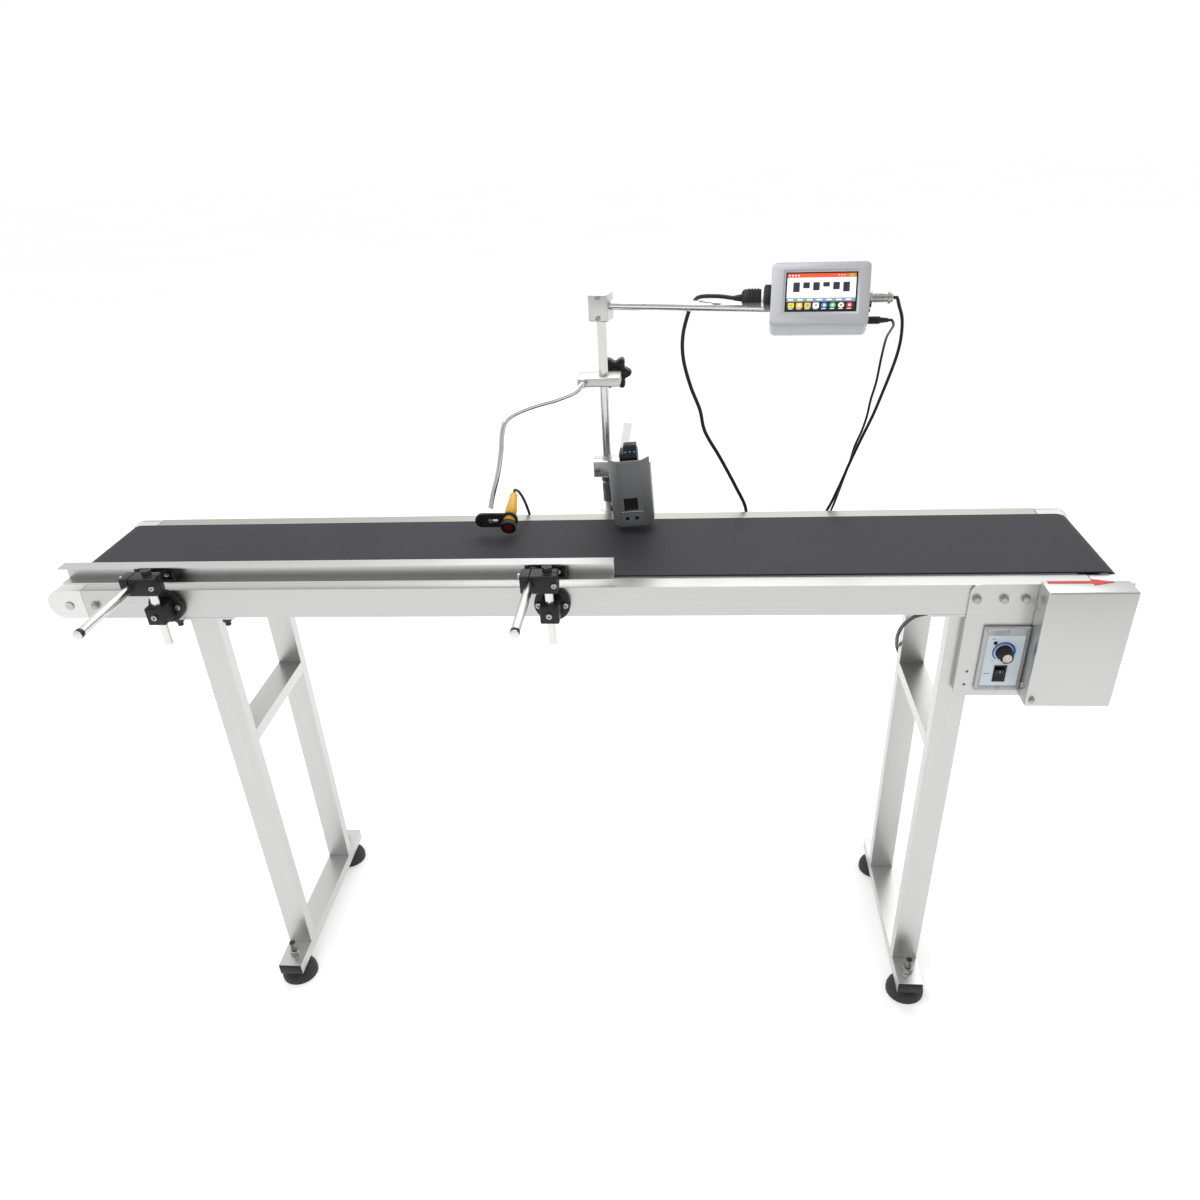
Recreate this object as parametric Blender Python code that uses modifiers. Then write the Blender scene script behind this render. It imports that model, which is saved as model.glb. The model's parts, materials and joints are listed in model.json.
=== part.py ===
"""Bench belt conveyor with a side guide, and a mast that carries a coding head, its
controller and a product sensor.

Metres. X runs along the belt towards the drive end, +Y points away from the operator and
+Z up, with Z = 0 on the floor. Everything is laid out about the belt's centreline; the
empty "conveyor" then moves it so that the origin lies under the middle of the whole part.
"""

import math

import bmesh
import bpy
from mathutils import Matrix, Vector

# ---------------------------------------------------------------- driving dimensions
CLEAR = 0.0003  # gap between pieces that touch, and round a shaft

# belt and rollers
LENGTH = 1.500  # nose to nose
BELT_WIDTH = 0.200
BELT_TOP = 0.765  # carrying height above the floor
BELT_THICKNESS = 0.0015
ROLLER_RADIUS = 0.025
ROLLER_INSET = 0.032  # roller centre from the nose end
SHAFT_RADIUS = 0.006

# side frames, slider bed and noses
FRAME_SIDE = 0.031  # from the belt's edge to the frame's outer face
FRAME_HEIGHT = 0.044
FRAME_DROP = 0.003  # frame top below the belt's surface
FRAME_SHEET = 0.002
FRAME_FLANGE = 0.029
NOSE_LENGTH = 0.055
NOSE_DEPTH = 0.006
NOSE_FLANGE = 0.038
TONGUE_LENGTH = 0.045
BED_SHEET = 0.0015
RIB_WIDTH = 0.030
RIB_BASE = 0.020  # underside of the ribs below the belt's surface

# stand
TUBE_WIDE = 0.040
TUBE_NARROW = 0.020
TUBE_WALL = 0.0015
LEG_INSET = 0.0084  # leg's outer face behind the frame's outer face
TAIL_LEG_FROM_ROLLER = 0.190
DRIVE_LEG_FROM_ROLLER = 0.176
LEG_PLATE_LENGTH = 0.100
LEG_PLATE_SHEET = 0.003
BRACE_DROP = 0.262  # brace top below the belt's surface
FOOT_BAR_HEIGHT = 0.028  # underside of the foot bar above the floor
FOOT_BAR_HALF = 0.180
STUD_RADIUS = 0.005
STUD_TOP = 0.075
STUD_REACH = 0.151  # stud from the centreline
PAD_RADIUS = 0.031
PAD_HEIGHT = 0.022

# drive
PLATE_SHEET = 0.003
PLATE_LENGTH = 0.205
PLATE_END_INSET = 0.005
PLATE_TOP_DROP = 0.001
PLATE_HEIGHT = 0.172
COVER_HEIGHT = 0.167  # below the plate's top edge
PLATE_CORNER = 0.012
PLATE_FOOT_CORNER = 0.006
COVER_LENGTH = 0.111
COVER_END_INSET = 0.013
COVER_DEPTH = 0.0354
COVER_TOP_RISE = 0.004
COVER_SHEET = 0.0015
CHAIN_PITCH = 0.00635
CHAIN_WIDTH = 0.005
ROLLER_TEETH = 12
MOTOR_TEETH = 18
SPROCKET_WIDTH = 0.003
SPROCKET_OFFSET = 0.0165  # sprocket plane outside the frame's outer face
MOTOR_FROM_ROLLER = 0.028
MOTOR_DROP = 0.120
GEARHEAD_SIZE = 0.070
GEARHEAD_DEPTH = 0.033
MOTOR_RADIUS = 0.034
MOTOR_LENGTH = 0.088
MOTOR_SHAFT_RADIUS = 0.005
PANEL_WIDTH = 0.060
PANEL_HEIGHT = 0.100
PANEL_DEPTH = 0.0054
PANEL_DROP = 0.062  # panel top below the belt's surface
PANEL_BODY_WIDTH = 0.050
PANEL_BODY_HEIGHT = 0.086
PANEL_BODY_DEPTH = 0.058
KNOB_RADIUS = 0.011
KNOB_HEIGHT = 0.017
KNOB_SHAFT = 0.003
KNOB_DROP = 0.100
ROCKER_WIDTH = 0.0124
ROCKER_HALF = 0.0085
ROCKER_DROP = 0.134
ROCKER_TILT = math.radians(12)  # rest position, to one side of the middle

# side guide
GUIDE_FROM_TAIL = 0.181  # first upright from the tail end
GUIDE_SPACING = 0.554
GUIDE_ROD = 0.006
GUIDE_OUT = 0.027  # uprights outside the frame's outer face
GUIDE_STEP = 0.023  # from an upright to its cross rod
POST_RISE = 0.042
POST_DROP = 0.074
DISC_RADIUS = 0.025
DISC_DEPTH = 0.008
BASE_BLOCK = 0.026
GUIDE_CLAMP_LENGTH = 0.050
RAIL_RISE = 0.008
RAIL_HEIGHT = 0.024
RAIL_DEPTH = 0.020
RAIL_SHEET = 0.0015
RAIL_LENGTH = 0.786
RAIL_FROM_TAIL = 0.034
FRONT_REACH = 0.304  # front ends of the cross rods from the belt's centreline

# mast
MAST_X = 0.045
MAST_OUT = 0.015  # post outside the rear frame
MAST_ROD = 0.007
ROD_WALL = 0.0015
MAST_TOP = 0.3003
MAST_BOTTOM = 0.130
MAST_BASE = 0.030
MAST_BASE_HEIGHT = 0.035
MAST_BASE_DROP = 0.006
ARM_RISE = 0.309
ARM_SWING = math.radians(-13.9)
ARM_LENGTH = 0.285
CORNER_BLOCK = 0.029
CORNER_HEIGHT = 0.037
CORNER_RISE = 0.288

# controller
HOUSING_WIDTH = 0.126
HOUSING_HEIGHT = 0.081
HOUSING_DEPTH = 0.044
HOUSING_CORNER = 0.006
HOUSING_AT = (0.340, 0.043, 0.333)  # middle of the face: x, y and rise above the belt
HOUSING_SWING = math.radians(-6)
HOUSING_TILT = math.radians(-30)
SOCKET_LENGTH = 0.050
SOCKET_SIZE = 0.024
PLUG_DEPTH = 0.022  # centre line of the side connectors behind the face
HEAD_PLUG = (0.039, 0.018, 0.018)
SENSOR_PLUG = (0.0065, 0.031)
SUPPLY_PLUG = (0.0033, 0.026)
HEAD_PLUG_RISE = 0.003
SENSOR_PLUG_RISE = 0.001
SUPPLY_PLUG_RISE = -0.028

# sensor
SENSOR_BLOCK = (0.0634, 0.042, 0.0135)
SENSOR_BLOCK_LEFT = 0.0384  # block's left end from the post
SENSOR_RISE = 0.197
STAR_RADIUS = 0.021
STAR_LOBE = 0.004
STAR_DEPTH = 0.018
STAR_STUD = 0.004
STAR_FROM_POST = 0.015
NECK_RADIUS = 0.0045
LENS_AT = (-0.099, 0.030, 0.0165)
LENS_RADIUS = 0.0115
BARREL_RADIUS = 0.009
BARREL_LENGTH = 0.079
BARREL_PITCH = math.radians(20)
BRACKET_LENGTH = 0.042
BRACKET_HALF = 0.0105
BRACKET_DEPTH = 0.006
BRACKET_SETBACK = 0.016

# coding head
CROSS_ROD = 0.0075
CROSS_ROD_FROM_POST = 0.021
CROSS_ROD_RISE = 0.070
REAR_REACH = 0.350  # rear end of the cross rod from the belt's centreline
HEAD_BLOCK = (0.060, 0.030, 0.026)
HEAD_FRONT = 0.045
HEAD_LEFT = 0.055
HEAD_WIDTH = 0.061
HEAD_WING = 0.011
HEAD_WING_DEPTH = 0.014
HEAD_DEPTH = 0.050
HEAD_BASE = 0.010
HEAD_HEIGHT = 0.101
HEAD_BODY = 0.080  # height of the block behind the folded front
HEAD_SHEET = 0.002
HEAD_LEAN = math.radians(-3.6)
CARTRIDGE_SIZE = (0.028, 0.032)
CARTRIDGE_FLOOR = 0.012
CARTRIDGE_RISE = 0.008
CARTRIDGE_STEP = (0.022, 0.018, 0.013)

# cords
HEAD_CABLE = 0.0055
SENSOR_CABLE = 0.0045
SUPPLY_CABLE = 0.0035
MAINS_CABLE = 0.006
DRAWN_TUBE = 0.040  # the leg tube that the mains lead's points were drawn around
ADAPTER_SIZE = (0.040, 0.026, 0.068)
ADAPTER_GAP = 0.017
HANK_WIDTH = 0.042
HANK_LENGTH = 0.154
HANK_DEPTH = 0.0246
HANK_DROP = 0.330
PLUG_BODY = (0.022, 0.030, 0.038)
PLUG_PIN = 0.0024

# ---------------------------------------------------------------- derived places
ROLLER_X = LENGTH / 2 - ROLLER_INSET
BELT_RADIUS = ROLLER_RADIUS + CLEAR + BELT_THICKNESS
ROLLER_Z = BELT_TOP - BELT_RADIUS
FRAME_X = LENGTH / 2 - NOSE_LENGTH
FRAME_Y = BELT_WIDTH / 2 + FRAME_SIDE
FLANGE_Y = FRAME_Y - FRAME_FLANGE
WEB_Y = FRAME_Y - FRAME_SHEET
FRAME_TOP = BELT_TOP - FRAME_DROP
FRAME_BOTTOM = FRAME_TOP - FRAME_HEIGHT
TAIL_LEG_X = TAIL_LEG_FROM_ROLLER - ROLLER_X
DRIVE_LEG_X = ROLLER_X - DRIVE_LEG_FROM_ROLLER
LEG_X = {"tail": TAIL_LEG_X, "drive": DRIVE_LEG_X}
SIDES = {"front": -1, "rear": 1}
LEG_OUTER = FRAME_Y - LEG_INSET
LEG_INNER = LEG_OUTER - TUBE_NARROW
FOOT_BAR_TOP = FOOT_BAR_HEIGHT + TUBE_NARROW
PLATE_BACK = -FRAME_Y - CLEAR
PLATE_FRONT = PLATE_BACK - PLATE_SHEET
PLATE_RIGHT = LENGTH / 2 - PLATE_END_INSET
PLATE_LEFT = PLATE_RIGHT - PLATE_LENGTH
PLATE_TOP = BELT_TOP - PLATE_TOP_DROP
PLATE_BOTTOM = PLATE_TOP - PLATE_HEIGHT
COVER_BOTTOM = PLATE_TOP - COVER_HEIGHT
COVER_BACK = PLATE_FRONT - CLEAR
COVER_RIGHT = LENGTH / 2 - COVER_END_INSET
COVER_LEFT = COVER_RIGHT - COVER_LENGTH
COVER_TOP = BELT_TOP + COVER_TOP_RISE
MOTOR_X = ROLLER_X - MOTOR_FROM_ROLLER
MOTOR_Z = BELT_TOP - MOTOR_DROP
SPROCKET_Y = -FRAME_Y - SPROCKET_OFFSET
ROLLER_PITCH = CHAIN_PITCH / 2 / math.sin(math.pi / ROLLER_TEETH)
MOTOR_PITCH = CHAIN_PITCH / 2 / math.sin(math.pi / MOTOR_TEETH)
CHAIN_IN = 0.22 * CHAIN_PITCH  # chain's inner line inside its pitch line
CHAIN_OUT = 0.47 * CHAIN_PITCH
PANEL_X = COVER_LEFT - CLEAR - PANEL_WIDTH / 2
PANEL_Z = BELT_TOP - PANEL_DROP - PANEL_HEIGHT / 2
GUIDE_Y = -FRAME_Y - GUIDE_OUT
GUIDE_X = [GUIDE_FROM_TAIL - LENGTH / 2 + i * GUIDE_SPACING for i in range(2)]
BASE_Z = FRAME_TOP - FRAME_HEIGHT / 2
RAIL_X = RAIL_FROM_TAIL - LENGTH / 2
RAIL_Z = BELT_TOP + RAIL_RISE
ROD_Z = RAIL_Z + RAIL_HEIGHT / 2
MAST_Y = FRAME_Y + MAST_OUT
CROSS_X = MAST_X + CROSS_ROD_FROM_POST
CROSS_Z = BELT_TOP + CROSS_ROD_RISE
CENTRE_Y = (FRONT_REACH - REAR_REACH) / 2  # belt's centreline from the part's origin
HEAD_REAR = HEAD_FRONT + HEAD_DEPTH
SOCKET_END = ARM_LENGTH + CLEAR


# ---------------------------------------------------------------- tools
def clear_scene():
    for obj in list(bpy.data.objects):
        bpy.data.objects.remove(obj)


def new_collection(name):
    made = bpy.data.collections.new(name)
    bpy.context.scene.collection.children.link(made)
    return made


def material(name, colour, roughness, metallic=0.0):
    made = bpy.data.materials.new(name)
    made.use_nodes = True
    shader = made.node_tree.nodes["Principled BSDF"]
    shader.inputs["Base Color"].default_value = (*colour, 1)
    shader.inputs["Roughness"].default_value = roughness
    shader.inputs["Metallic"].default_value = metallic
    return made


def put_in(obj, group):
    for old in list(obj.users_collection):
        old.objects.unlink(obj)
    group.objects.link(obj)
    return obj


def named(obj, name):
    obj.name = name
    obj.data.name = name
    return put_in(obj, PARTS)


def finished(obj, look):
    obj.data.materials.clear()
    obj.data.materials.append(look)
    if obj.type == "MESH":
        obj.data.shade_smooth()
        obj.data.set_sharp_from_angle(angle=math.radians(35))
    return obj


def box(name, low, high):
    """A box between two corners, its origin at its middle."""
    low, high = Vector(low), Vector(high)
    bpy.ops.mesh.primitive_cube_add(size=1, location=(low + high) / 2)
    obj = bpy.context.object
    obj.data.transform(Matrix.Diagonal((*(high - low), 1)))
    return named(obj, name)


def rod(name, start, end, radius, sides=24):
    """A round bar between two points."""
    start, end = Vector(start), Vector(end)
    along = end - start
    bpy.ops.mesh.primitive_cylinder_add(
        vertices=sides,
        radius=radius,
        depth=along.length,
        location=(start + end) / 2,
        rotation=along.to_track_quat("Z", "Y").to_euler(),
    )
    return named(bpy.context.object, name)


def turned(name, profile, origin, axis, steps=32, ring=False):
    """A shape turned about axis: profile holds (radius, height), from the top down."""
    mesh = bpy.data.meshes.new(name)
    count = len(profile)
    edges = [(i, i + 1) for i in range(count - 1)]
    if ring:
        edges.append((count - 1, 0))
    mesh.from_pydata([(r, 0, h) for r, h in profile], edges, [])
    obj = bpy.data.objects.new(name, mesh)
    PARTS.objects.link(obj)
    screw = obj.modifiers.new("turn", "SCREW")
    screw.axis = "Z"
    screw.steps = screw.render_steps = steps
    screw.use_merge_vertices = True
    screw.merge_threshold = 1e-5
    obj.location = origin
    obj.rotation_euler = Vector(axis).to_track_quat("Z", "Y").to_euler()
    return obj


def tube(name, start, end, radius, wall, steps=24):
    """A round tube with open ends."""
    start, end = Vector(start), Vector(end)
    length = (end - start).length
    inner = radius - wall
    profile = [(radius, length), (radius, 0), (inner, 0), (inner, length)]
    return turned(name, profile, start, end - start, steps, ring=True)


PLANES = {
    "XY": Matrix.Identity(4),
    "XZ": Matrix(((1, 0, 0, 0), (0, 0, -1, 0), (0, 1, 0, 0), (0, 0, 0, 1))),
    "YZ": Matrix(((0, 0, 1, 0), (1, 0, 0, 0), (0, 1, 0, 0), (0, 0, 0, 1))),
}


def sheet(name, loops, plane, low, high):
    """Closed outlines (the later ones are holes) in a plane, filled from low to high
    along the plane's third axis."""
    curve = bpy.data.curves.new(name, "CURVE")
    curve.dimensions = "2D"
    curve.fill_mode = "BOTH"
    curve.extrude = (high - low) / 2
    for loop in loops:
        spline = curve.splines.new("POLY")
        spline.points.add(len(loop) - 1)
        for point, (u, v) in zip(spline.points, loop):
            point.co = (u, v, 0, 1)
        spline.use_cyclic_u = True
    obj = bpy.data.objects.new(name, curve)
    PARTS.objects.link(obj)
    third = {"XY": 2, "XZ": 1, "YZ": 0}[plane]
    place = Vector((0, 0, 0))
    place[third] = (low + high) / 2
    obj.matrix_basis = Matrix.Translation(place) @ PLANES[plane]
    return as_mesh(obj)


def as_mesh(obj):
    """Turns a curve object into a mesh object with its caps welded on."""
    bpy.context.view_layer.update()
    graph = bpy.context.evaluated_depsgraph_get()
    mesh = bpy.data.meshes.new_from_object(obj.evaluated_get(graph))
    shape = bmesh.new()
    shape.from_mesh(mesh)
    bmesh.ops.remove_doubles(shape, verts=shape.verts, dist=1e-5)
    bmesh.ops.recalc_face_normals(shape, faces=shape.faces)
    shape.to_mesh(mesh)
    shape.free()
    name, place, curve = obj.name, obj.matrix_basis.copy(), obj.data
    bpy.data.objects.remove(obj)
    bpy.data.curves.remove(curve)
    made = bpy.data.objects.new(name, mesh)
    made.matrix_basis = place
    PARTS.objects.link(made)
    return made


def combine(target, other, operation):
    """Joins other to target, or cuts it out, with a Boolean modifier."""
    put_in(other, CUTTERS)
    other.hide_render = True
    other.display_type = "WIRE"
    other.parent = target
    other.matrix_parent_inverse = target.matrix_basis.inverted()
    step = target.modifiers.new(operation.lower(), "BOOLEAN")
    step.operation = operation
    step.solver = "EXACT"
    step.object = other
    return target


def cut(target, *others):
    for other in others:
        combine(target, other, "DIFFERENCE")
    return target


def join(target, *others):
    for other in others:
        combine(target, other, "UNION")
    return target


def arc(centre, radius, start, end, count):
    """Points on an arc, angles in degrees."""
    angles = [math.radians(start + (end - start) * i / count) for i in range(count + 1)]
    return [
        (centre[0] + radius * math.cos(a), centre[1] + radius * math.sin(a))
        for a in angles
    ]


def circle(centre, radius, count=24):
    return arc(centre, radius, 0, 360, count)[:-1]


def rectangle(low, high):
    return [(low[0], low[1]), (high[0], low[1]), (high[0], high[1]), (low[0], high[1])]


def rounded(low, high, radius, count=4):
    """A rectangle with round corners."""
    left, bottom = low[0] + radius, low[1] + radius
    right, top = high[0] - radius, high[1] - radius
    return (
        arc((right, top), radius, 0, 90, count)
        + arc((left, top), radius, 90, 180, count)
        + arc((left, bottom), radius, 180, 270, count)
        + arc((right, bottom), radius, 270, 360, count)
    )


def around_two(first, first_radius, second, second_radius, count=16):
    """The outline of a band stretched round two circles."""
    dx, dy = second[0] - first[0], second[1] - first[1]
    heading = math.degrees(math.atan2(dy, dx))
    turn = math.degrees(math.acos((first_radius - second_radius) / math.hypot(dx, dy)))
    return arc(first, first_radius, heading + turn, heading + 360 - turn, count) + arc(
        second, second_radius, heading - turn, heading + turn, count
    )


def channel(web, tip, bottom, top, wall):
    """A C section in the YZ plane, its web at y = web and its flanges ending at tip."""
    inner = web + math.copysign(wall, tip - web)
    return [
        (tip, top),
        (web, top),
        (web, bottom),
        (tip, bottom),
        (tip, bottom + wall),
        (inner, bottom + wall),
        (inner, top - wall),
        (tip, top - wall),
    ]


def smooth_route(points, step):
    """Points about a step apart on a smooth curve through the route's own points."""
    points = [Vector(p) for p in points]
    padded = [2 * points[0] - points[1], *points, 2 * points[-1] - points[-2]]
    found = []
    for a, b, c, d in zip(padded, padded[1:], padded[2:], padded[3:]):
        count = max(1, round((c - b).length / step))
        for i in range(count):
            t = i / count
            found.append(
                0.5
                * (
                    2 * b
                    + (c - a) * t
                    + (2 * a - 5 * b + 4 * c - d) * t**2
                    + (3 * b - a - 3 * c + d) * t**3
                )
            )
    return [*found, points[-1]]


def flexible(name, route, diameter, step, resolution=2):
    """A cord or flexible neck: a round tube along a smooth route."""
    curve = bpy.data.curves.new(name, "CURVE")
    curve.dimensions = "3D"
    curve.bevel_depth = diameter / 2
    curve.bevel_resolution = resolution
    curve.use_fill_caps = True
    points = smooth_route(route, step)
    spline = curve.splines.new("POLY")
    spline.points.add(len(points) - 1)
    for point, place in zip(spline.points, points):
        point.co = (*place, 1)
    obj = bpy.data.objects.new(name, curve)
    PARTS.objects.link(obj)
    return obj


def hang_on(name, place, *pieces):
    """An empty on a joint's axis that carries the pieces which move about it."""
    pivot = bpy.data.objects.new(name, None)
    pivot.empty_display_size = 0.03
    pivot.location = place
    PARTS.objects.link(pivot)
    for piece in pieces:
        piece.parent = pivot
        piece.matrix_parent_inverse = Matrix.Translation(place).inverted()
    return pivot


def moved(obj, matrix):
    obj.matrix_basis = matrix @ obj.matrix_basis
    return obj


# ---------------------------------------------------------------- belt and frame
def belt():
    rear = (-ROLLER_X, ROLLER_Z)
    front = (ROLLER_X, ROLLER_Z)
    outside = around_two(rear, BELT_RADIUS, front, BELT_RADIUS)
    inside = around_two(
        rear, BELT_RADIUS - BELT_THICKNESS, front, BELT_RADIUS - BELT_THICKNESS
    )
    half = BELT_WIDTH / 2
    finished(sheet("belt", [outside, inside], "XZ", -half, half), BELT_FABRIC)


def rollers():
    half = BELT_WIDTH / 2 + 0.001
    rear_end = FRAME_Y + 0.002
    front_end = FRAME_Y + 0.002
    body = [
        (0, rear_end),
        (SHAFT_RADIUS, rear_end),
        (SHAFT_RADIUS, half),
        (ROLLER_RADIUS, half),
        (ROLLER_RADIUS, -half),
        (SHAFT_RADIUS, -half),
    ]
    axis = (0, 1, 0)
    tail = [*body, (SHAFT_RADIUS, -front_end), (0, -front_end)]
    at = (-ROLLER_X, 0, ROLLER_Z)
    finished(turned("tail_roller", tail, at, axis), ZINC)
    rim = ROLLER_PITCH - CHAIN_IN - CLEAR
    near = SPROCKET_Y + SPROCKET_WIDTH / 2
    far = SPROCKET_Y - SPROCKET_WIDTH / 2
    shaft_end = far - 0.006
    drive = [
        *body,
        (SHAFT_RADIUS, near),
        (rim, near),
        (rim, far),
        (SHAFT_RADIUS, far),
        (SHAFT_RADIUS, shaft_end),
        (0, shaft_end),
    ]
    at = (ROLLER_X, 0, ROLLER_Z)
    finished(turned("drive_roller", drive, at, axis), ZINC)


def side_frames():
    for side, sign in SIDES.items():
        outline = channel(
            sign * FRAME_Y, sign * FLANGE_Y, FRAME_BOTTOM, FRAME_TOP, FRAME_SHEET
        )
        name = f"side_frame_{side}"
        finished(sheet(name, [outline], "YZ", -FRAME_X, FRAME_X), STAINLESS)


def slider_bed():
    half_x = ROLLER_X - BELT_RADIUS - 0.008
    half_y = FLANGE_Y - CLEAR
    top = BELT_TOP - BELT_THICKNESS - CLEAR
    bed = box(
        "slider_bed", (-half_x, -half_y, top - BED_SHEET), (half_x, half_y, top)
    )
    wide = WEB_Y - CLEAR
    neck = half_y - 0.010
    shoulder = FRAME_TOP - FRAME_SHEET - CLEAR
    middle = top - BED_SHEET / 2
    low = BELT_TOP - RIB_BASE
    rib = [
        (-wide, low),
        (wide, low),
        (wide, shoulder),
        (neck, shoulder),
        (neck, middle),
        (-neck, middle),
        (-neck, shoulder),
        (-wide, shoulder),
    ]
    for index, place in enumerate((-0.62, 0.0, 0.62)):
        x = place * ROLLER_X
        left, right = x - RIB_WIDTH / 2, x + RIB_WIDTH / 2
        join(bed, sheet(f"bed_rib_{index}", [rib], "YZ", left, right))
    finished(bed, STAINLESS)


def nose_brackets():
    middle = (FRAME_TOP + FRAME_BOTTOM) / 2
    nose_round = FRAME_HEIGHT / 2
    start = FRAME_X + CLEAR
    for end, x_sign in (("tail", -1), ("drive", 1)):
        centre = (x_sign * (LENGTH / 2 - nose_round), middle)
        first = 90 if x_sign < 0 else -90
        outline = arc(centre, nose_round, first, first + 180, 12)
        corners = [(x_sign * start, FRAME_TOP), (x_sign * start, FRAME_BOTTOM)]
        outline += corners if x_sign > 0 else corners[::-1]
        hole = circle((x_sign * ROLLER_X, ROLLER_Z), SHAFT_RADIUS + CLEAR)
        for side, y_sign in SIDES.items():
            low, high = sorted((y_sign * (FRAME_Y - NOSE_DEPTH), y_sign * FRAME_Y))
            nose = sheet(f"nose_{end}_{side}", [outline, hole], "XZ", low, high)
            tongue = box(
                f"tongue_{end}_{side}",
                (
                    min(x_sign * (start + 0.008), x_sign * (start - TONGUE_LENGTH)),
                    min(
                        y_sign * (FRAME_Y - NOSE_DEPTH + CLEAR),
                        y_sign * (WEB_Y - CLEAR),
                    ),
                    FRAME_BOTTOM + 0.004,
                ),
                (
                    max(x_sign * (start + 0.008), x_sign * (start - TONGUE_LENGTH)),
                    max(
                        y_sign * (FRAME_Y - NOSE_DEPTH + CLEAR),
                        y_sign * (WEB_Y - CLEAR),
                    ),
                    FRAME_TOP - 0.004,
                ),
            )
            flange = box(
                f"nose_flange_{end}_{side}",
                (
                    min(x_sign * (start + 0.001), x_sign * (start + NOSE_FLANGE)),
                    min(y_sign * FLANGE_Y, y_sign * (FRAME_Y - 0.003)),
                    FRAME_TOP - FRAME_SHEET,
                ),
                (
                    max(x_sign * (start + 0.001), x_sign * (start + NOSE_FLANGE)),
                    max(y_sign * FLANGE_Y, y_sign * (FRAME_Y - 0.003)),
                    FRAME_TOP - CLEAR,
                ),
            )
            join(nose, tongue, flange)
            finished(nose, BRIGHT)


# ---------------------------------------------------------------- stand
def tube_section(centre, wide, high):
    outer = rectangle(
        (centre[0] - wide / 2, centre[1] - high / 2),
        (centre[0] + wide / 2, centre[1] + high / 2),
    )
    inner = rectangle(
        (centre[0] - wide / 2 + TUBE_WALL, centre[1] - high / 2 + TUBE_WALL),
        (centre[0] + wide / 2 - TUBE_WALL, centre[1] + high / 2 - TUBE_WALL),
    )
    return [outer, inner]


def legs():
    plate_top = FRAME_BOTTOM - CLEAR
    for end, x in LEG_X.items():
        for side, sign in SIDES.items():
            y = sign * (LEG_INNER + LEG_OUTER) / 2
            section = tube_section((x, y), TUBE_WIDE, TUBE_NARROW)
            name = f"leg_{end}_{side}"
            bottom = FOOT_BAR_TOP + CLEAR
            leg = sheet(name, section, "XY", bottom, plate_top - LEG_PLATE_SHEET / 2)
            near, far = sorted((sign * (LEG_INNER - CLEAR), sign * FRAME_Y))
            plate = box(
                f"{name}_plate",
                (x - LEG_PLATE_LENGTH / 2, near, plate_top - LEG_PLATE_SHEET),
                (x + LEG_PLATE_LENGTH / 2, far, plate_top),
            )
            finished(join(leg, plate), STAINLESS)


def braces_and_foot_bars():
    brace_z = BELT_TOP - BRACE_DROP - TUBE_NARROW / 2
    brace_half = LEG_INNER - CLEAR
    bar_z = FOOT_BAR_HEIGHT + TUBE_NARROW / 2
    for end, x in LEG_X.items():
        section = tube_section((x, brace_z), TUBE_WIDE, TUBE_NARROW)
        brace = sheet(f"leg_brace_{end}", section, "XZ", -brace_half, brace_half)
        finished(brace, STAINLESS)
        section = tube_section((x, bar_z), TUBE_WIDE, TUBE_NARROW)
        bar = sheet(f"foot_bar_{end}", section, "XZ", -FOOT_BAR_HALF, FOOT_BAR_HALF)
        for sign in (-1, 1):
            y = sign * STUD_REACH
            low, high = (x, y, FOOT_BAR_HEIGHT - 0.01), (x, y, FOOT_BAR_TOP + 0.01)
            cut(bar, rod(f"stud_hole_{end}_{sign}", low, high, STUD_RADIUS + CLEAR))
        finished(bar, STAINLESS)


def levelling_feet():
    dome_start, dome_end = STUD_RADIUS + 0.004, PAD_RADIUS - 0.0005
    profile = [(0, STUD_TOP), (STUD_RADIUS, STUD_TOP), (STUD_RADIUS, PAD_HEIGHT)]
    for i in range(5):
        swing = math.radians(90 * i / 5)
        radius = dome_start + (dome_end - dome_start) * math.sin(swing)
        profile.append((radius, 0.008 + (PAD_HEIGHT - 0.008) * math.cos(swing)))
    profile += [(PAD_RADIUS, 0.007), (PAD_RADIUS, 0), (0, 0)]
    for end, x in LEG_X.items():
        for side, sign in SIDES.items():
            at = (x, sign * STUD_REACH, 0)
            foot = turned(f"levelling_foot_{end}_{side}", profile, at, (0, 0, 1), 24)
            finished(foot, RUBBER)


# ---------------------------------------------------------------- drive
def drive_plate():
    corner = (PLATE_LEFT + PLATE_CORNER, PLATE_TOP - PLATE_CORNER)
    foot = (PLATE_LEFT + PLATE_FOOT_CORNER, PLATE_BOTTOM + PLATE_FOOT_CORNER)
    outline = [
        (PLATE_RIGHT, PLATE_TOP),
        *arc(corner, PLATE_CORNER, 90, 180, 5),
        *arc(foot, PLATE_FOOT_CORNER, 180, 270, 4),
        (PLATE_RIGHT, PLATE_BOTTOM),
    ]
    half_w = PANEL_BODY_WIDTH / 2 + CLEAR
    half_h = PANEL_BODY_HEIGHT / 2 + CLEAR
    window = rectangle(
        (PANEL_X - half_w, PANEL_Z - half_h), (PANEL_X + half_w, PANEL_Z + half_h)
    )
    holes = [
        window,
        circle((ROLLER_X, ROLLER_Z), SHAFT_RADIUS + CLEAR),
        circle((MOTOR_X, MOTOR_Z), MOTOR_SHAFT_RADIUS + 0.004),
        circle((PLATE_LEFT + 0.014, PLATE_TOP - 0.133), 0.002, 12),
        circle((PLATE_LEFT + 0.013, PLATE_TOP - 0.154), 0.002, 12),
    ]
    plate = sheet("drive_plate", [outline, *holes], "XZ", PLATE_FRONT, PLATE_BACK)
    finished(plate, STAINLESS)


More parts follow.
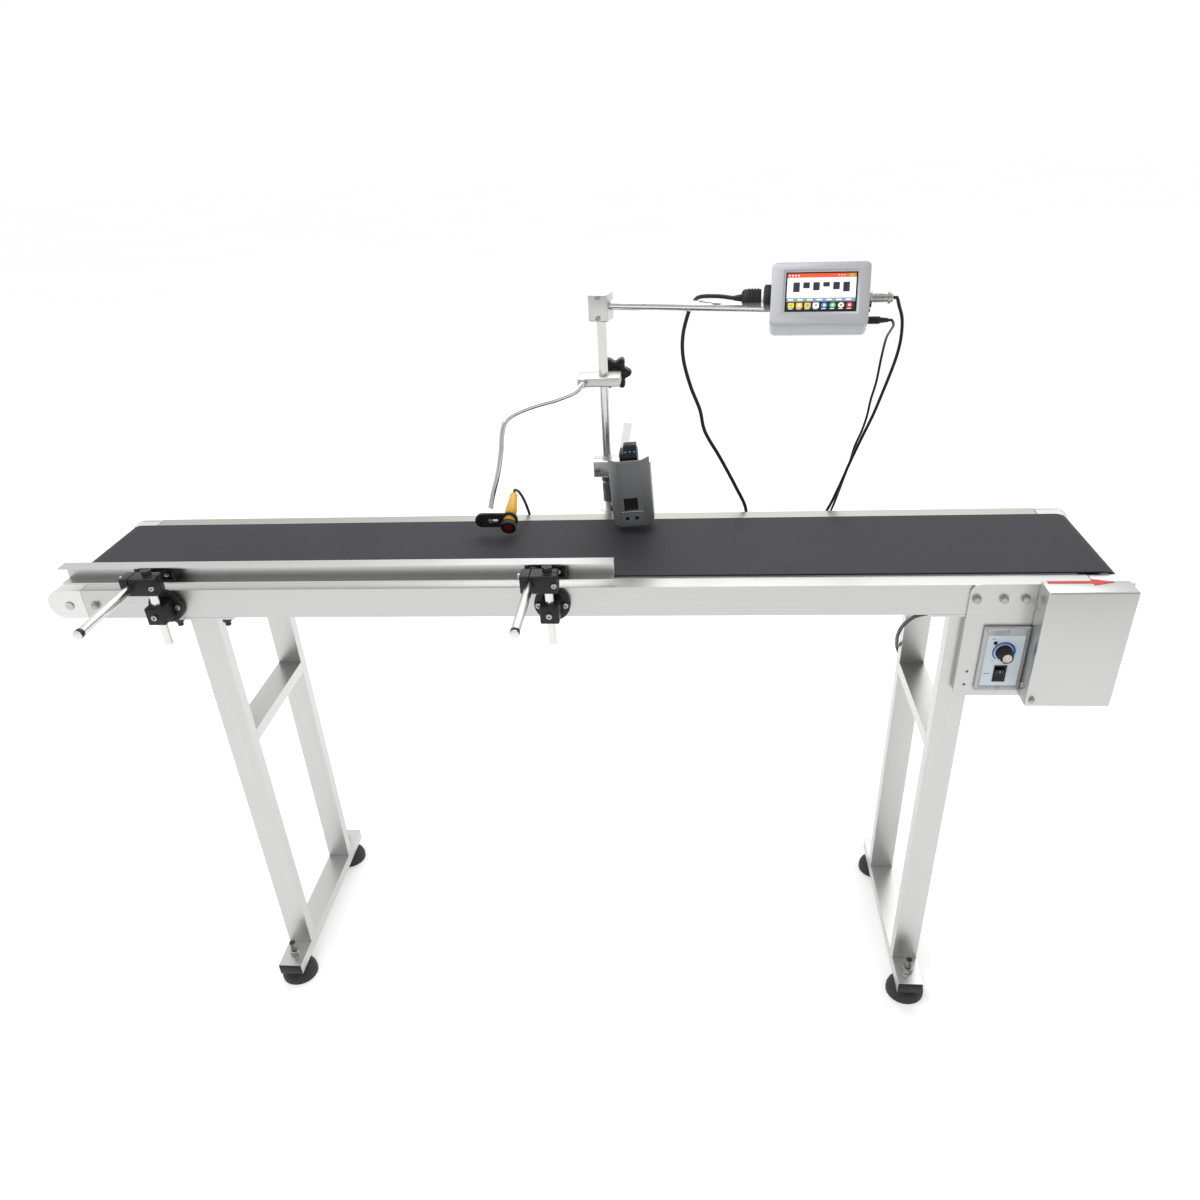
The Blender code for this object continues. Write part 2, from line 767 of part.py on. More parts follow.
def drive_cover():
    front = COVER_BACK - COVER_DEPTH
    cover = box(
        "drive_cover",
        (COVER_LEFT, front, COVER_BOTTOM),
        (COVER_RIGHT, COVER_BACK, COVER_TOP),
    )
    inside = box(
        "cover_space",
        (COVER_LEFT + COVER_SHEET, front + COVER_SHEET, COVER_BOTTOM + COVER_SHEET),
        (COVER_RIGHT - COVER_SHEET, COVER_BACK + 0.01, COVER_TOP - COVER_SHEET),
    )
    finished(cut(cover, inside), STAINLESS)


def gearmotor():
    half = GEARHEAD_SIZE / 2
    gear_front = PLATE_BACK + CLEAR
    gear_back = gear_front + GEARHEAD_DEPTH
    body = box(
        "gearmotor",
        (MOTOR_X - half, gear_front, MOTOR_Z - half),
        (MOTOR_X + half, gear_back, MOTOR_Z + half),
    )
    motor = rod(
        "motor_body",
        (MOTOR_X, gear_back - 0.005, MOTOR_Z),
        (MOTOR_X, gear_back + MOTOR_LENGTH, MOTOR_Z),
        MOTOR_RADIUS,
        32,
    )
    bore = rod(
        "motor_bore",
        (MOTOR_X, gear_front - 0.005, MOTOR_Z),
        (MOTOR_X, gear_front + 0.012, MOTOR_Z),
        MOTOR_SHAFT_RADIUS + CLEAR,
    )
    join(body, motor)
    finished(cut(body, bore), MOTOR_GREY)


def motor_sprocket():
    rim = MOTOR_PITCH - CHAIN_IN - CLEAR
    near = SPROCKET_Y + SPROCKET_WIDTH / 2
    far = SPROCKET_Y - SPROCKET_WIDTH / 2
    inner_end = PLATE_BACK + 0.010
    profile = [
        (0, inner_end),
        (MOTOR_SHAFT_RADIUS, inner_end),
        (MOTOR_SHAFT_RADIUS, near + 0.004),
        (MOTOR_SHAFT_RADIUS + 0.005, near + 0.004),
        (MOTOR_SHAFT_RADIUS + 0.005, near),
        (rim, near),
        (rim, far),
        (0, far),
    ]
    at = (MOTOR_X, 0, MOTOR_Z)
    finished(turned("motor_sprocket", profile, at, (0, 1, 0)), ZINC)


def drive_chain():
    roller, motor = (ROLLER_X, ROLLER_Z), (MOTOR_X, MOTOR_Z)
    outside = around_two(
        roller, ROLLER_PITCH + CHAIN_OUT, motor, MOTOR_PITCH + CHAIN_OUT
    )
    inside = around_two(roller, ROLLER_PITCH - CHAIN_IN, motor, MOTOR_PITCH - CHAIN_IN)
    low, high = SPROCKET_Y - CHAIN_WIDTH / 2, SPROCKET_Y + CHAIN_WIDTH / 2
    finished(sheet("drive_chain", [outside, inside], "XZ", low, high), ZINC)


def speed_panel():
    front = COVER_BACK - PANEL_DEPTH
    half_w, half_h = PANEL_WIDTH / 2, PANEL_HEIGHT / 2
    face = rounded(
        (PANEL_X - half_w, PANEL_Z - half_h), (PANEL_X + half_w, PANEL_Z + half_h), 0.002, 2
    )
    panel = sheet("speed_panel", [face], "XZ", front, COVER_BACK)
    body_w, body_h = PANEL_BODY_WIDTH / 2, PANEL_BODY_HEIGHT / 2
    body = box(
        "panel_body",
        (PANEL_X - body_w, COVER_BACK - PANEL_DEPTH / 2, PANEL_Z - body_h),
        (PANEL_X + body_w, COVER_BACK + PANEL_BODY_DEPTH, PANEL_Z + body_h),
    )
    knob_z, rocker_z = BELT_TOP - KNOB_DROP, BELT_TOP - ROCKER_DROP
    knob_bore = rod(
        "knob_bore",
        (PANEL_X, front - 0.005, knob_z),
        (PANEL_X, front + 0.012, knob_z),
        KNOB_SHAFT + CLEAR,
    )
    pocket = box(
        "rocker_pocket",
        (PANEL_X - ROCKER_WIDTH / 2 - CLEAR, front - 0.005, rocker_z - 0.0108),
        (PANEL_X + ROCKER_WIDTH / 2 + CLEAR, front + 0.012, rocker_z + 0.0108),
    )
    join(panel, body)
    finished(cut(panel, knob_bore, pocket), PANEL_WHITE)


def speed_knob():
    front = COVER_BACK - PANEL_DEPTH
    profile = [
        (0, KNOB_HEIGHT),
        (KNOB_RADIUS - 0.0028, KNOB_HEIGHT),
        (KNOB_RADIUS - 0.0018, KNOB_HEIGHT - 0.001),
        (KNOB_RADIUS - 0.0010, 0.004),
        (KNOB_RADIUS, 0.003),
        (KNOB_RADIUS, CLEAR),
        (KNOB_SHAFT, CLEAR),
        (KNOB_SHAFT, -0.009),
        (0, -0.009),
    ]
    at = (PANEL_X, front, BELT_TOP - KNOB_DROP)
    finished(turned("speed_knob", profile, at, (0, -1, 0), 24), BLACK)


def rocker_switch():
    pivot = Vector((PANEL_X, COVER_BACK - PANEL_DEPTH + 0.004, BELT_TOP - ROCKER_DROP))
    side = [
        (-0.0058, -ROCKER_HALF),
        (0.0030, -0.0070),
        (0.0030, 0.0070),
        (-0.0058, ROCKER_HALF),
        (-0.0035, 0),
    ]
    half = ROCKER_WIDTH / 2
    rocker = sheet("rocker_switch", [side], "YZ", -half, half)
    turn = Matrix.Rotation(ROCKER_TILT, 4, "X")
    finished(moved(rocker, Matrix.Translation(pivot) @ turn), BLACK)
    hang_on("rocker_pivot", pivot, rocker)


# ---------------------------------------------------------------- side guide
def guide_bases():
    face = -FRAME_Y - CLEAR
    half = BASE_BLOCK / 2
    for name, x in zip(("tail", "middle"), GUIDE_X):
        base = rod(
            f"guide_base_{name}",
            (x, face - DISC_DEPTH, BASE_Z),
            (x, face, BASE_Z),
            DISC_RADIUS,
            32,
        )
        boss = box(
            f"base_boss_{name}",
            (x - half, GUIDE_Y - half, BASE_Z - half),
            (x + half, face - 0.003, BASE_Z + half),
        )
        bore = rod(
            f"base_bore_{name}",
            (x, GUIDE_Y, BASE_Z - 0.05),
            (x, GUIDE_Y, BASE_Z + 0.05),
            GUIDE_ROD + CLEAR,
        )
        join(base, boss)
        finished(cut(base, bore), BLACK)


def guide_posts_and_clamps():
    pieces = []
    for name, x in zip(("tail", "middle"), GUIDE_X):
        low = (x, GUIDE_Y, BELT_TOP - POST_DROP)
        high = (x, GUIDE_Y, BELT_TOP + POST_RISE)
        pieces.append(finished(rod(f"guide_post_{name}", low, high, GUIDE_ROD), BRIGHT))
        middle = x - GUIDE_STEP / 2
        half = BASE_BLOCK / 2
        clamp = box(
            f"guide_clamp_{name}",
            (middle - GUIDE_CLAMP_LENGTH / 2, GUIDE_Y - half, ROD_Z - half),
            (middle + GUIDE_CLAMP_LENGTH / 2, GUIDE_Y + half, ROD_Z + half),
        )
        upright = rod(
            f"clamp_upright_{name}",
            (x, GUIDE_Y, ROD_Z - 0.05),
            (x, GUIDE_Y, ROD_Z + 0.05),
            GUIDE_ROD + CLEAR,
        )
        across = rod(
            f"clamp_across_{name}",
            (x - GUIDE_STEP, GUIDE_Y - 0.05, ROD_Z),
            (x - GUIDE_STEP, GUIDE_Y + 0.05, ROD_Z),
            GUIDE_ROD + CLEAR,
        )
        pieces.append(finished(cut(clamp, upright, across), BLACK))
    hang_on("guide_height_axis", (GUIDE_X[0], GUIDE_Y, ROD_Z), *pieces)


def guide_rail_and_arms():
    front = -FRAME_Y
    back = front + RAIL_DEPTH
    section = channel(back, front, RAIL_Z, RAIL_Z + RAIL_HEIGHT, RAIL_SHEET)
    rail = sheet("guide_rail", [section], "YZ", RAIL_X, RAIL_X + RAIL_LENGTH)
    pieces = [finished(rail, STAINLESS)]
    inner = RAIL_SHEET + CLEAR
    for name, x in zip(("tail", "middle"), GUIDE_X):
        rod_x = x - GUIDE_STEP
        arm = rod(
            f"guide_arm_{name}",
            (rod_x, -FRONT_REACH, ROD_Z),
            (rod_x, back - inner - 0.004, ROD_Z),
            GUIDE_ROD,
        )
        clip = box(
            f"rail_clip_{name}",
            (rod_x - 0.012, front + 0.001, RAIL_Z + inner),
            (x + 0.022, back - inner, RAIL_Z + RAIL_HEIGHT - inner),
        )
        pieces.append(finished(join(arm, clip), BRIGHT))
    hang_on("guide_reach_axis", (GUIDE_X[0] - GUIDE_STEP, GUIDE_Y, ROD_Z), *pieces)


# ---------------------------------------------------------------- mast
def mast_point(rise):
    return Vector((MAST_X, MAST_Y, BELT_TOP + rise))


def arm_point(distance):
    """A point on the arm's centreline."""
    along = Matrix.Rotation(ARM_SWING, 3, "Z") @ Vector((distance, 0, 0))
    return mast_point(ARM_RISE) + along


def mast_base():
    half = MAST_BASE / 2
    top = BELT_TOP - MAST_BASE_DROP
    base = box(
        "mast_base",
        (MAST_X - half, FRAME_Y + CLEAR, top - MAST_BASE_HEIGHT),
        (MAST_X + half, MAST_Y + half, top),
    )
    bore = rod("mast_bore", mast_point(-0.1), mast_point(0.05), MAST_ROD + CLEAR)
    finished(cut(base, bore), ALUMINIUM)


def mast():
    post = tube(
        "mast_post", mast_point(-MAST_BOTTOM), mast_point(MAST_TOP), MAST_ROD, ROD_WALL
    )
    finished(post, BRIGHT)
    half = CORNER_BLOCK / 2
    corner = box("mast_corner_clamp", (-half, -half, 0), (half, half, CORNER_HEIGHT))
    turn = Matrix.Rotation(ARM_SWING, 4, "Z")
    moved(corner, Matrix.Translation(mast_point(CORNER_RISE)) @ turn)
    post_bore = rod(
        "corner_post_bore",
        mast_point(CORNER_RISE - 0.02),
        mast_point(MAST_TOP + CLEAR),
        MAST_ROD + CLEAR,
    )
    arm_bore = rod(
        "corner_arm_bore",
        arm_point(-0.004 - CLEAR),
        arm_point(0.05),
        MAST_ROD + CLEAR,
    )
    finished(cut(corner, post_bore, arm_bore), ALUMINIUM)
    arm = tube("mast_arm", arm_point(-0.004), arm_point(ARM_LENGTH), MAST_ROD, ROD_WALL)
    finished(arm, BRIGHT)
    return [post, corner, arm]


def housing_place():
    """Frame of the controller: X across its face, Y into its depth, Z up its face."""
    x, y, rise = HOUSING_AT
    return (
        Matrix.Translation((x, y, BELT_TOP + rise))
        @ Matrix.Rotation(HOUSING_SWING, 4, "Z")
        @ Matrix.Rotation(HOUSING_TILT, 4, "X")
    )


def housing_point(x, y, z):
    return housing_place() @ Vector((x, y, z))


def controller():
    half_w, half_h = HOUSING_WIDTH / 2, HOUSING_HEIGHT / 2
    face = rounded((-half_w, -half_h), (half_w, half_h), HOUSING_CORNER)
    housing = sheet("controller_housing", [face], "XZ", 0, HOUSING_DEPTH)
    moved(housing, housing_place())
    half = SOCKET_SIZE / 2
    socket = box("arm_socket", (-SOCKET_LENGTH, -half, -half), (0.004, half, half))
    turn = Matrix.Rotation(ARM_SWING, 4, "Z")
    moved(socket, Matrix.Translation(arm_point(SOCKET_END)) @ turn)
    length, deep, high = HEAD_PLUG
    head_plug = box(
        "head_plug",
        (-half_w - length, PLUG_DEPTH - deep / 2, HEAD_PLUG_RISE - high / 2),
        (-half_w + 0.004, PLUG_DEPTH + deep / 2, HEAD_PLUG_RISE + high / 2),
    )
    moved(head_plug, housing_place())
    others = [socket, head_plug]
    for name, (radius, reach), rise in (
        ("sensor_plug", SENSOR_PLUG, SENSOR_PLUG_RISE),
        ("supply_plug", SUPPLY_PLUG, SUPPLY_PLUG_RISE),
    ):
        start = housing_point(half_w - 0.004, PLUG_DEPTH, rise)
        end = housing_point(half_w + reach, PLUG_DEPTH, rise)
        others.append(rod(name, start, end, radius, 16))
    join(housing, *others)
    bore = rod(
        "arm_bore",
        arm_point(SOCKET_END - SOCKET_LENGTH - 0.02),
        arm_point(SOCKET_END),
        MAST_ROD + CLEAR,
    )
    return finished(cut(housing, bore), CONTROLLER_GREY)


def sensor_clamp_and_knob():
    length, deep, high = SENSOR_BLOCK
    left = MAST_X - SENSOR_BLOCK_LEFT
    back = MAST_Y + deep - 0.019
    low = BELT_TOP + SENSOR_RISE
    block = box("sensor_clamp", (left, back - deep, low), (left + length, back, low + high))
    post_bore = rod(
        "sensor_post_bore",
        mast_point(SENSOR_RISE - 0.02),
        mast_point(SENSOR_RISE + 0.04),
        MAST_ROD + CLEAR,
    )
    x, z = MAST_X + STAR_FROM_POST, low + high / 2
    stud_bore = rod(
        "star_stud_bore", (x, back - 0.02, z), (x, back + 0.01, z), STAR_STUD + CLEAR
    )
    finished(cut(block, post_bore, stud_bore), ALUMINIUM)
    lobes = []
    for i in range(48):
        angle = 2 * math.pi * i / 48
        reach = STAR_RADIUS + STAR_LOBE * math.cos(6 * angle)
        lobes.append((x + reach * math.cos(angle), z + reach * math.sin(angle)))
    near = back + 0.006
    knob = sheet("star_knob", [lobes], "XZ", near, near + STAR_DEPTH)
    stud = rod("star_stud", (x, back - 0.015, z), (x, near + 0.005, z), STAR_STUD)
    finished(join(knob, stud), BLACK)
    hang_on("star_knob_axis", (x, back, z), knob)
    return [block]


NECK_ROUTE = (
    (0.0150, 0.1265, 0.2037),
    (0.0150, 0.1200, 0.2037),
    (0.0040, 0.1140, 0.1945),
    (-0.0240, 0.1080, 0.1855),
    (-0.0520, 0.1020, 0.1800),
    (-0.0800, 0.0955, 0.1720),
    (-0.0965, 0.0890, 0.1630),
    (-0.1030, 0.0820, 0.1480),
    (-0.1066, 0.0731, 0.1201),
    (-0.1132, 0.0654, 0.0891),
    (-0.1235, 0.0577, 0.0570),
    (-0.1270, 0.0500, 0.0400),
)


def over_belt(route):
    return [(x, y, BELT_TOP + z) for x, y, z in route]


def lens_axis():
    return Vector((0, math.cos(BARREL_PITCH), math.sin(BARREL_PITCH)))


def photocell_and_bracket():
    lens = Vector((LENS_AT[0], LENS_AT[1], BELT_TOP + LENS_AT[2]))
    top = BARREL_LENGTH
    profile = [
        (0, top),
        (0.0058, top),
        (0.0062, top - 0.012),
        (BARREL_RADIUS, top - 0.040),
        (BARREL_RADIUS, 0.010),
        (LENS_RADIUS, 0.010),
        (LENS_RADIUS, 0.001),
        (LENS_RADIUS - 0.001, 0),
        (0, 0),
    ]
    cell = turned("photocell", profile, lens, lens_axis(), 24)
    finished(cell, SENSOR_YELLOW)
    at = lens + lens_axis() * (BRACKET_SETBACK + BRACKET_DEPTH / 2)
    front = at.y - BRACKET_DEPTH / 2
    ring = BARREL_RADIUS + 0.0035
    far_end = (at.x - BRACKET_LENGTH, at.z)
    outline = around_two((at.x, at.z), ring, far_end, BRACKET_HALF, 12)
    bracket = sheet("sensor_bracket", [outline], "XZ", front, front + BRACKET_DEPTH)
    bore = rod(
        "barrel_bore", lens, lens + lens_axis() * 0.04, BARREL_RADIUS + CLEAR, 24
    )
    finished(cut(bracket, bore), BLACK)
    return [cell, bracket]


def sensor():
    neck = flexible("gooseneck", over_belt(NECK_ROUTE), 2 * NECK_RADIUS, 0.014)
    finished(neck, CHROME)
    return [neck, *photocell_and_bracket()]


# ---------------------------------------------------------------- coding head
def head_clamp():
    length, deep, high = HEAD_BLOCK
    left = MAST_X - 0.021
    block = box(
        "printhead_clamp",
        (left, MAST_Y - deep / 2, CROSS_Z - high / 2),
        (left + length, MAST_Y + deep / 2, CROSS_Z + high / 2),
    )
    post_bore = rod(
        "head_post_bore",
        mast_point(CROSS_ROD_RISE - 0.04),
        mast_point(CROSS_ROD_RISE + 0.04),
        MAST_ROD + CLEAR,
    )
    cross_bore = rod(
        "head_cross_bore",
        (CROSS_X, MAST_Y - 0.05, CROSS_Z),
        (CROSS_X, MAST_Y + 0.05, CROSS_Z),
        CROSS_ROD + CLEAR,
    )
    return finished(cut(block, post_bore, cross_bore), ALUMINIUM)


def coding_head():
    right = HEAD_LEFT + HEAD_WIDTH
    wing_y = HEAD_FRONT + HEAD_WING_DEPTH
    outline = [
        (HEAD_LEFT, HEAD_REAR),
        (HEAD_LEFT, wing_y),
        (HEAD_LEFT + HEAD_WING, HEAD_FRONT),
        (right - HEAD_WING, HEAD_FRONT),
        (right, wing_y),
        (right, HEAD_REAR),
    ]
    wide, deep = CARTRIDGE_SIZE
    middle_x = HEAD_LEFT + HEAD_WIDTH / 2
    middle_y = HEAD_FRONT + HEAD_DEPTH / 2
    base, top = BELT_TOP + HEAD_BASE, BELT_TOP + HEAD_BASE + HEAD_HEIGHT
    shell = sheet("printhead_shell", [outline], "XY", base, top)
    edge, wall, wing_end = 0.005, HEAD_SHEET * 1.3, wing_y + 0.001
    cover_inside = [
        (HEAD_LEFT + wall, wing_end + edge),
        (HEAD_LEFT + wall, wing_end - 0.001),
        (HEAD_LEFT + HEAD_WING + HEAD_SHEET / 2, HEAD_FRONT + HEAD_SHEET),
        (right - HEAD_WING - HEAD_SHEET / 2, HEAD_FRONT + HEAD_SHEET),
        (right - wall, wing_end - 0.001),
        (right - wall, wing_end + edge),
    ]
    open_inside = sheet("open_inside", [cover_inside], "XY", base + HEAD_BODY, top + 0.01)
    open_top = box(
        "open_top",
        (HEAD_LEFT - edge, wing_end, base + HEAD_BODY),
        (right + edge, HEAD_REAR + edge, top + 0.01),
    )
    pocket = box(
        "cartridge_pocket",
        (middle_x - wide / 2, middle_y - deep / 2, base + CARTRIDGE_FLOOR),
        (middle_x + wide / 2, middle_y + deep / 2, top + 0.01),
    )
    cartridge = box(
        "ink_cartridge",
        (
            middle_x - wide / 2 + CLEAR,
            middle_y - deep / 2 + CLEAR,
            base + CARTRIDGE_FLOOR + CLEAR,
        ),
        (
            middle_x + wide / 2 - CLEAR,
            middle_y + deep / 2 - CLEAR,
            top + CARTRIDGE_RISE,
        ),
    )
    step_w, step_d, step_h = CARTRIDGE_STEP
    step = box(
        "cartridge_step",
        (middle_x - step_w / 2 + 0.002, middle_y - step_d / 2, top),
        (
            middle_x + step_w / 2 + 0.002,
            middle_y + step_d / 2,
            top + CARTRIDGE_RISE + step_h,
        ),
    )
    pivot = Matrix.Translation((CROSS_X, 0, CROSS_Z))
    lean = pivot @ Matrix.Rotation(HEAD_LEAN, 4, "Y") @ pivot.inverted()
    for piece in (shell, open_top, open_inside, pocket, cartridge, step):
        moved(piece, lean)
    finished(cut(shell, open_top, open_inside, pocket), HEAD_GREY)
    finished(join(cartridge, step), BLACK)
    start = (CROSS_X, HEAD_REAR + CLEAR, CROSS_Z)
    end = (CROSS_X, REAR_REACH, CROSS_Z)
    cross = rod("printhead_rod", start, end, CROSS_ROD)
    finished(cross, BRIGHT)
    hang_on("printhead_axis", (CROSS_X, MAST_Y, CROSS_Z), shell, cartridge, cross)


# ---------------------------------------------------------------- cords
HEAD_CABLE_ROUTE = (
    (0.2105, 0.0900, 0.3250),
    (0.1860, 0.1150, 0.3205),
    (0.1775, 0.1310, 0.3110),
    (0.1700, 0.1400, 0.2950),
    (0.1622, 0.1430, 0.2627),
    (0.1632, 0.1440, 0.2292),
    (0.1740, 0.1440, 0.1900),
    (0.1879, 0.1440, 0.1554),
    (0.1958, 0.1440, 0.1221),
    (0.2192, 0.1440, 0.0814),
    (0.2440, 0.1440, 0.0350),
    (0.2620, 0.1440, -0.0050),
    (0.2570, 0.1450, -0.0420),
    (0.2300, 0.1480, -0.0620),
    (0.1900, 0.1540, -0.0600),
    (0.1500, 0.1580, -0.0420),
    (0.1080, 0.1560, -0.0160),
    (0.0960, 0.1460, 0.0140),
    (0.0985, 0.1250, 0.0370),
    (0.0980, 0.1080, 0.0400),
    (0.0980, HEAD_REAR + CLEAR, 0.0400),
)
SENSOR_CABLE_ROUTE = (
    (0.4450, 0.0560, 0.3120),
    (0.4525, 0.0650, 0.2950),
    (0.4575, 0.0800, 0.2720),
    (0.4590, 0.0940, 0.2474),
    (0.4558, 0.1040, 0.2204),
    (0.4481, 0.1140, 0.1841),
    (0.4388, 0.1220, 0.1470),
    (0.4275, 0.1280, 0.1129),
    (0.4141, 0.1330, 0.0722),
    (0.4026, 0.1370, 0.0344),
    (0.3878, 0.1400, -0.0052),
    (0.3660, 0.1440, -0.0420),
    (0.3250, 0.1530, -0.0680),
    (0.2600, 0.1680, -0.0780),
    (0.1900, 0.1770, -0.0790),
    (0.1200, 0.1790, -0.0770),
    (0.0500, 0.1770, -0.0750),
    (-0.0100, 0.1680, -0.0690),
    (-0.0550, 0.1550, -0.0540),
    (-0.0790, 0.1460, -0.0280),
    (-0.0850, 0.1400, 0.0000),
    (-0.0900, 0.1330, 0.0230),
    (-0.0950, 0.1220, 0.0400),
)
SUPPLY_CABLE_ROUTE = (
    (0.4395, 0.0500, 0.2890),
    (0.4412, 0.0740, 0.2770),
    (0.4420, 0.1020, 0.2600),
    (0.4426, 0.1240, 0.2285),
    (0.4412, 0.1340, 0.1926),
    (0.4370, 0.1390, 0.1663),
    (0.4344, 0.1420, 0.1406),
    (0.4292, 0.1440, 0.1172),
    (0.4216, 0.1460, 0.0940),
    (0.4167, 0.1480, 0.0680),
    (0.4105, 0.1490, 0.0431),
    (0.4035, 0.1490, 0.0175),
    (0.3961, 0.1490, -0.0073),
    (0.3783, 0.1490, -0.0529),
    (0.3350, 0.1490, -0.0880),
    (0.2700, 0.1500, -0.1020),
    (0.2000, 0.1490, -0.1040),
    (0.1450, 0.1480, -0.0990),
)
MAINS_ROUTE = (
    (-0.0020, 0.0530, -0.0800),
    (-0.0110, 0.0770, -0.0860),
    (-0.0190, 0.1010, -0.0980),
    (-0.0327, 0.1330, -0.1211),
    (-0.0387, 0.1720, -0.1583),
    (-0.0345, 0.2110, -0.1965),
    (-0.0268, 0.2420, -0.2270),
    (-0.0195, 0.2640, -0.2500),
    (-0.0080, 0.2720, -0.2760),
    (0.0040, 0.2760, -0.3000),
)


def adapter_left():
    return MAST_X + ADAPTER_GAP


def adapter_top():
    return BELT_TOP - MAST_BOTTOM + ADAPTER_SIZE[2]


def head_cable():
    length = HEAD_PLUG[0]
    start = housing_point(
        -HOUSING_WIDTH / 2 - length - CLEAR, PLUG_DEPTH, HEAD_PLUG_RISE
    )
    straight = housing_point(
        -HOUSING_WIDTH / 2 - length - 0.010, PLUG_DEPTH, HEAD_PLUG_RISE
    )
    route = [start, straight, *over_belt(HEAD_CABLE_ROUTE)]
    return finished(flexible("printhead_cable", route, HEAD_CABLE, 0.015), BLACK)


def side_lead(name, plug, rise, route, diameter, end):
    """A cable that leaves one of the connectors on the controller's right side."""
    reach = HOUSING_WIDTH / 2 + plug[1]
    start = housing_point(reach + CLEAR, PLUG_DEPTH, rise)
    straight = housing_point(reach + 0.005, PLUG_DEPTH, rise)
    points = [start, straight, *over_belt(route), *end]
    return finished(flexible(name, points, diameter, 0.014), BLACK)


def sensor_cable():
    lens = Vector((LENS_AT[0], LENS_AT[1], BELT_TOP + LENS_AT[2]))
    end = [
        lens + lens_axis() * (BARREL_LENGTH + 0.008),
        lens + lens_axis() * (BARREL_LENGTH + CLEAR),
    ]
    return side_lead(
        "photocell_cable",
        SENSOR_PLUG,
        SENSOR_PLUG_RISE,
        SENSOR_CABLE_ROUTE,
        SENSOR_CABLE,
        end,
    )


def supply_lead_and_adapter():
    left, top = adapter_left(), adapter_top()
    wide, deep, high = ADAPTER_SIZE
    middle = top - high / 2
    end = [
        (left + wide + 0.012, MAST_Y, middle),
        (left + wide + CLEAR, MAST_Y, middle),
    ]
    lead = side_lead(
        "dc_lead",
        SUPPLY_PLUG,
        SUPPLY_PLUG_RISE,
        SUPPLY_CABLE_ROUTE,
        SUPPLY_CABLE,
        end,
    )
    adapter = box(
        "power_adapter",
        (left, MAST_Y - deep / 2, top - high),
        (left + wide, MAST_Y + deep / 2, top),
    )
    strap_half = MAST_ROD + 0.003
    strap = box(
        "adapter_strap",
        (MAST_X - strap_half, MAST_Y - strap_half, top - high + 0.002),
        (left + 0.003, MAST_Y + strap_half, top - high + 0.018),
    )
    bore = rod(
        "strap_bore", mast_point(-MAST_BOTTOM - 0.02), mast_point(0), MAST_ROD + CLEAR
    )
    join(adapter, strap)
    return [lead, finished(cut(adapter, bore), BLACK)]


def mains_cord():
    """The lead's points are taken from the drive leg and the panel body's left face."""
    gland = (
        PANEL_X - PANEL_BODY_WIDTH / 2 - CLEAR,
        -0.0890,
        BELT_TOP - 0.0780,
    )
    clear_of_gland = (gland[0] - 0.012, gland[1], gland[2])
    hank_x = DRIVE_LEG_X + 0.009
    hank_y = LEG_OUTER + CLEAR + HANK_WIDTH / 2
    hank_top = BELT_TOP - HANK_DROP
    wider = TUBE_WIDE / DRAWN_TUBE
    free = [
        (DRIVE_LEG_X + x * wider, y - FRAME_Y, BELT_TOP + z)
        for x, y, z in MAINS_ROUTE
    ]
    above = (hank_x, hank_y, hank_top + 0.012)
    end = (hank_x, hank_y, hank_top + CLEAR)
    route = [gland, clear_of_gland, *free, above, end]
    finished(flexible("mains_lead", route, MAINS_CABLE, 0.015, 3), BLACK)
    radius = HANK_WIDTH / 2
    middle_y, low = hank_y, hank_top - HANK_LENGTH
    outline = around_two(
        (middle_y, hank_top - radius), radius, (middle_y, low + radius), radius, 12
    )
    half = HANK_DEPTH / 2
    hank = sheet("mains_hank", [outline], "YZ", hank_x - half, hank_x + half)
    finished(hank, BLACK)
    wide, deep, high = PLUG_BODY
    neck_top = low - CLEAR
    body_top = neck_top - 0.020
    plug = box(
        "mains_plug",
        (hank_x - wide / 2, middle_y - deep / 2, body_top - high),
        (hank_x + wide / 2, middle_y + deep / 2, body_top),
    )
    neck = rod(
        "plug_neck",
        (hank_x, middle_y, body_top - 0.005),
        (hank_x, middle_y, neck_top),
        0.0055,
        16,
    )
    pins = [
        rod(
            f"plug_pin_{sign}",
            (hank_x, middle_y + sign * 0.0095, body_top - high - 0.019),
            (hank_x, middle_y + sign * 0.0095, body_top - high + 0.005),
            PLUG_PIN,
            12,
        )
        for sign in (-1, 1)
    ]
    finished(join(plug, neck, *pins), BLACK)


# ---------------------------------------------------------------- assembly
def centre_the_part():
    """Stands the whole conveyor over the origin."""
    base = bpy.data.objects.new("conveyor", None)
    base.empty_display_size = 0.1
    base.location = (0, CENTRE_Y, 0)
    PARTS.objects.link(base)
    for obj in list(PARTS.objects):
        if obj.parent is None and obj is not base:
            obj.parent = base


clear_scene()
PARTS = new_collection("belt_conveyor")
CUTTERS = new_collection("cutters")
STAINLESS = material("brushed_stainless", (0.62, 0.62, 0.61), 0.32, 1.0)
BRIGHT = material("bright_stainless", (0.78, 0.78, 0.77), 0.18, 1.0)
CHROME = material("chrome", (0.80, 0.80, 0.80), 0.10, 1.0)
ZINC = material("zinc_plate", (0.60, 0.60, 0.58), 0.35, 1.0)
ALUMINIUM = material("anodised_aluminium", (0.70, 0.70, 0.70), 0.40, 1.0)
BELT_FABRIC = material("belt_fabric", (0.048, 0.048, 0.055), 0.75)
RUBBER = material("foot_rubber", (0.05, 0.05, 0.05), 0.6)
BLACK = material("black_plastic", (0.020, 0.020, 0.022), 0.45)
MOTOR_GREY = material("motor_grey", (0.10, 0.10, 0.11), 0.45, 0.6)
PANEL_WHITE = material("panel_white", (0.75, 0.77, 0.75), 0.4)
CONTROLLER_GREY = material("controller_grey", (0.68, 0.69, 0.71), 0.4)
HEAD_GREY = material("head_grey", (0.32, 0.33, 0.34), 0.45, 0.5)
SENSOR_YELLOW = material("sensor_yellow", (0.75, 0.42, 0.02), 0.4)

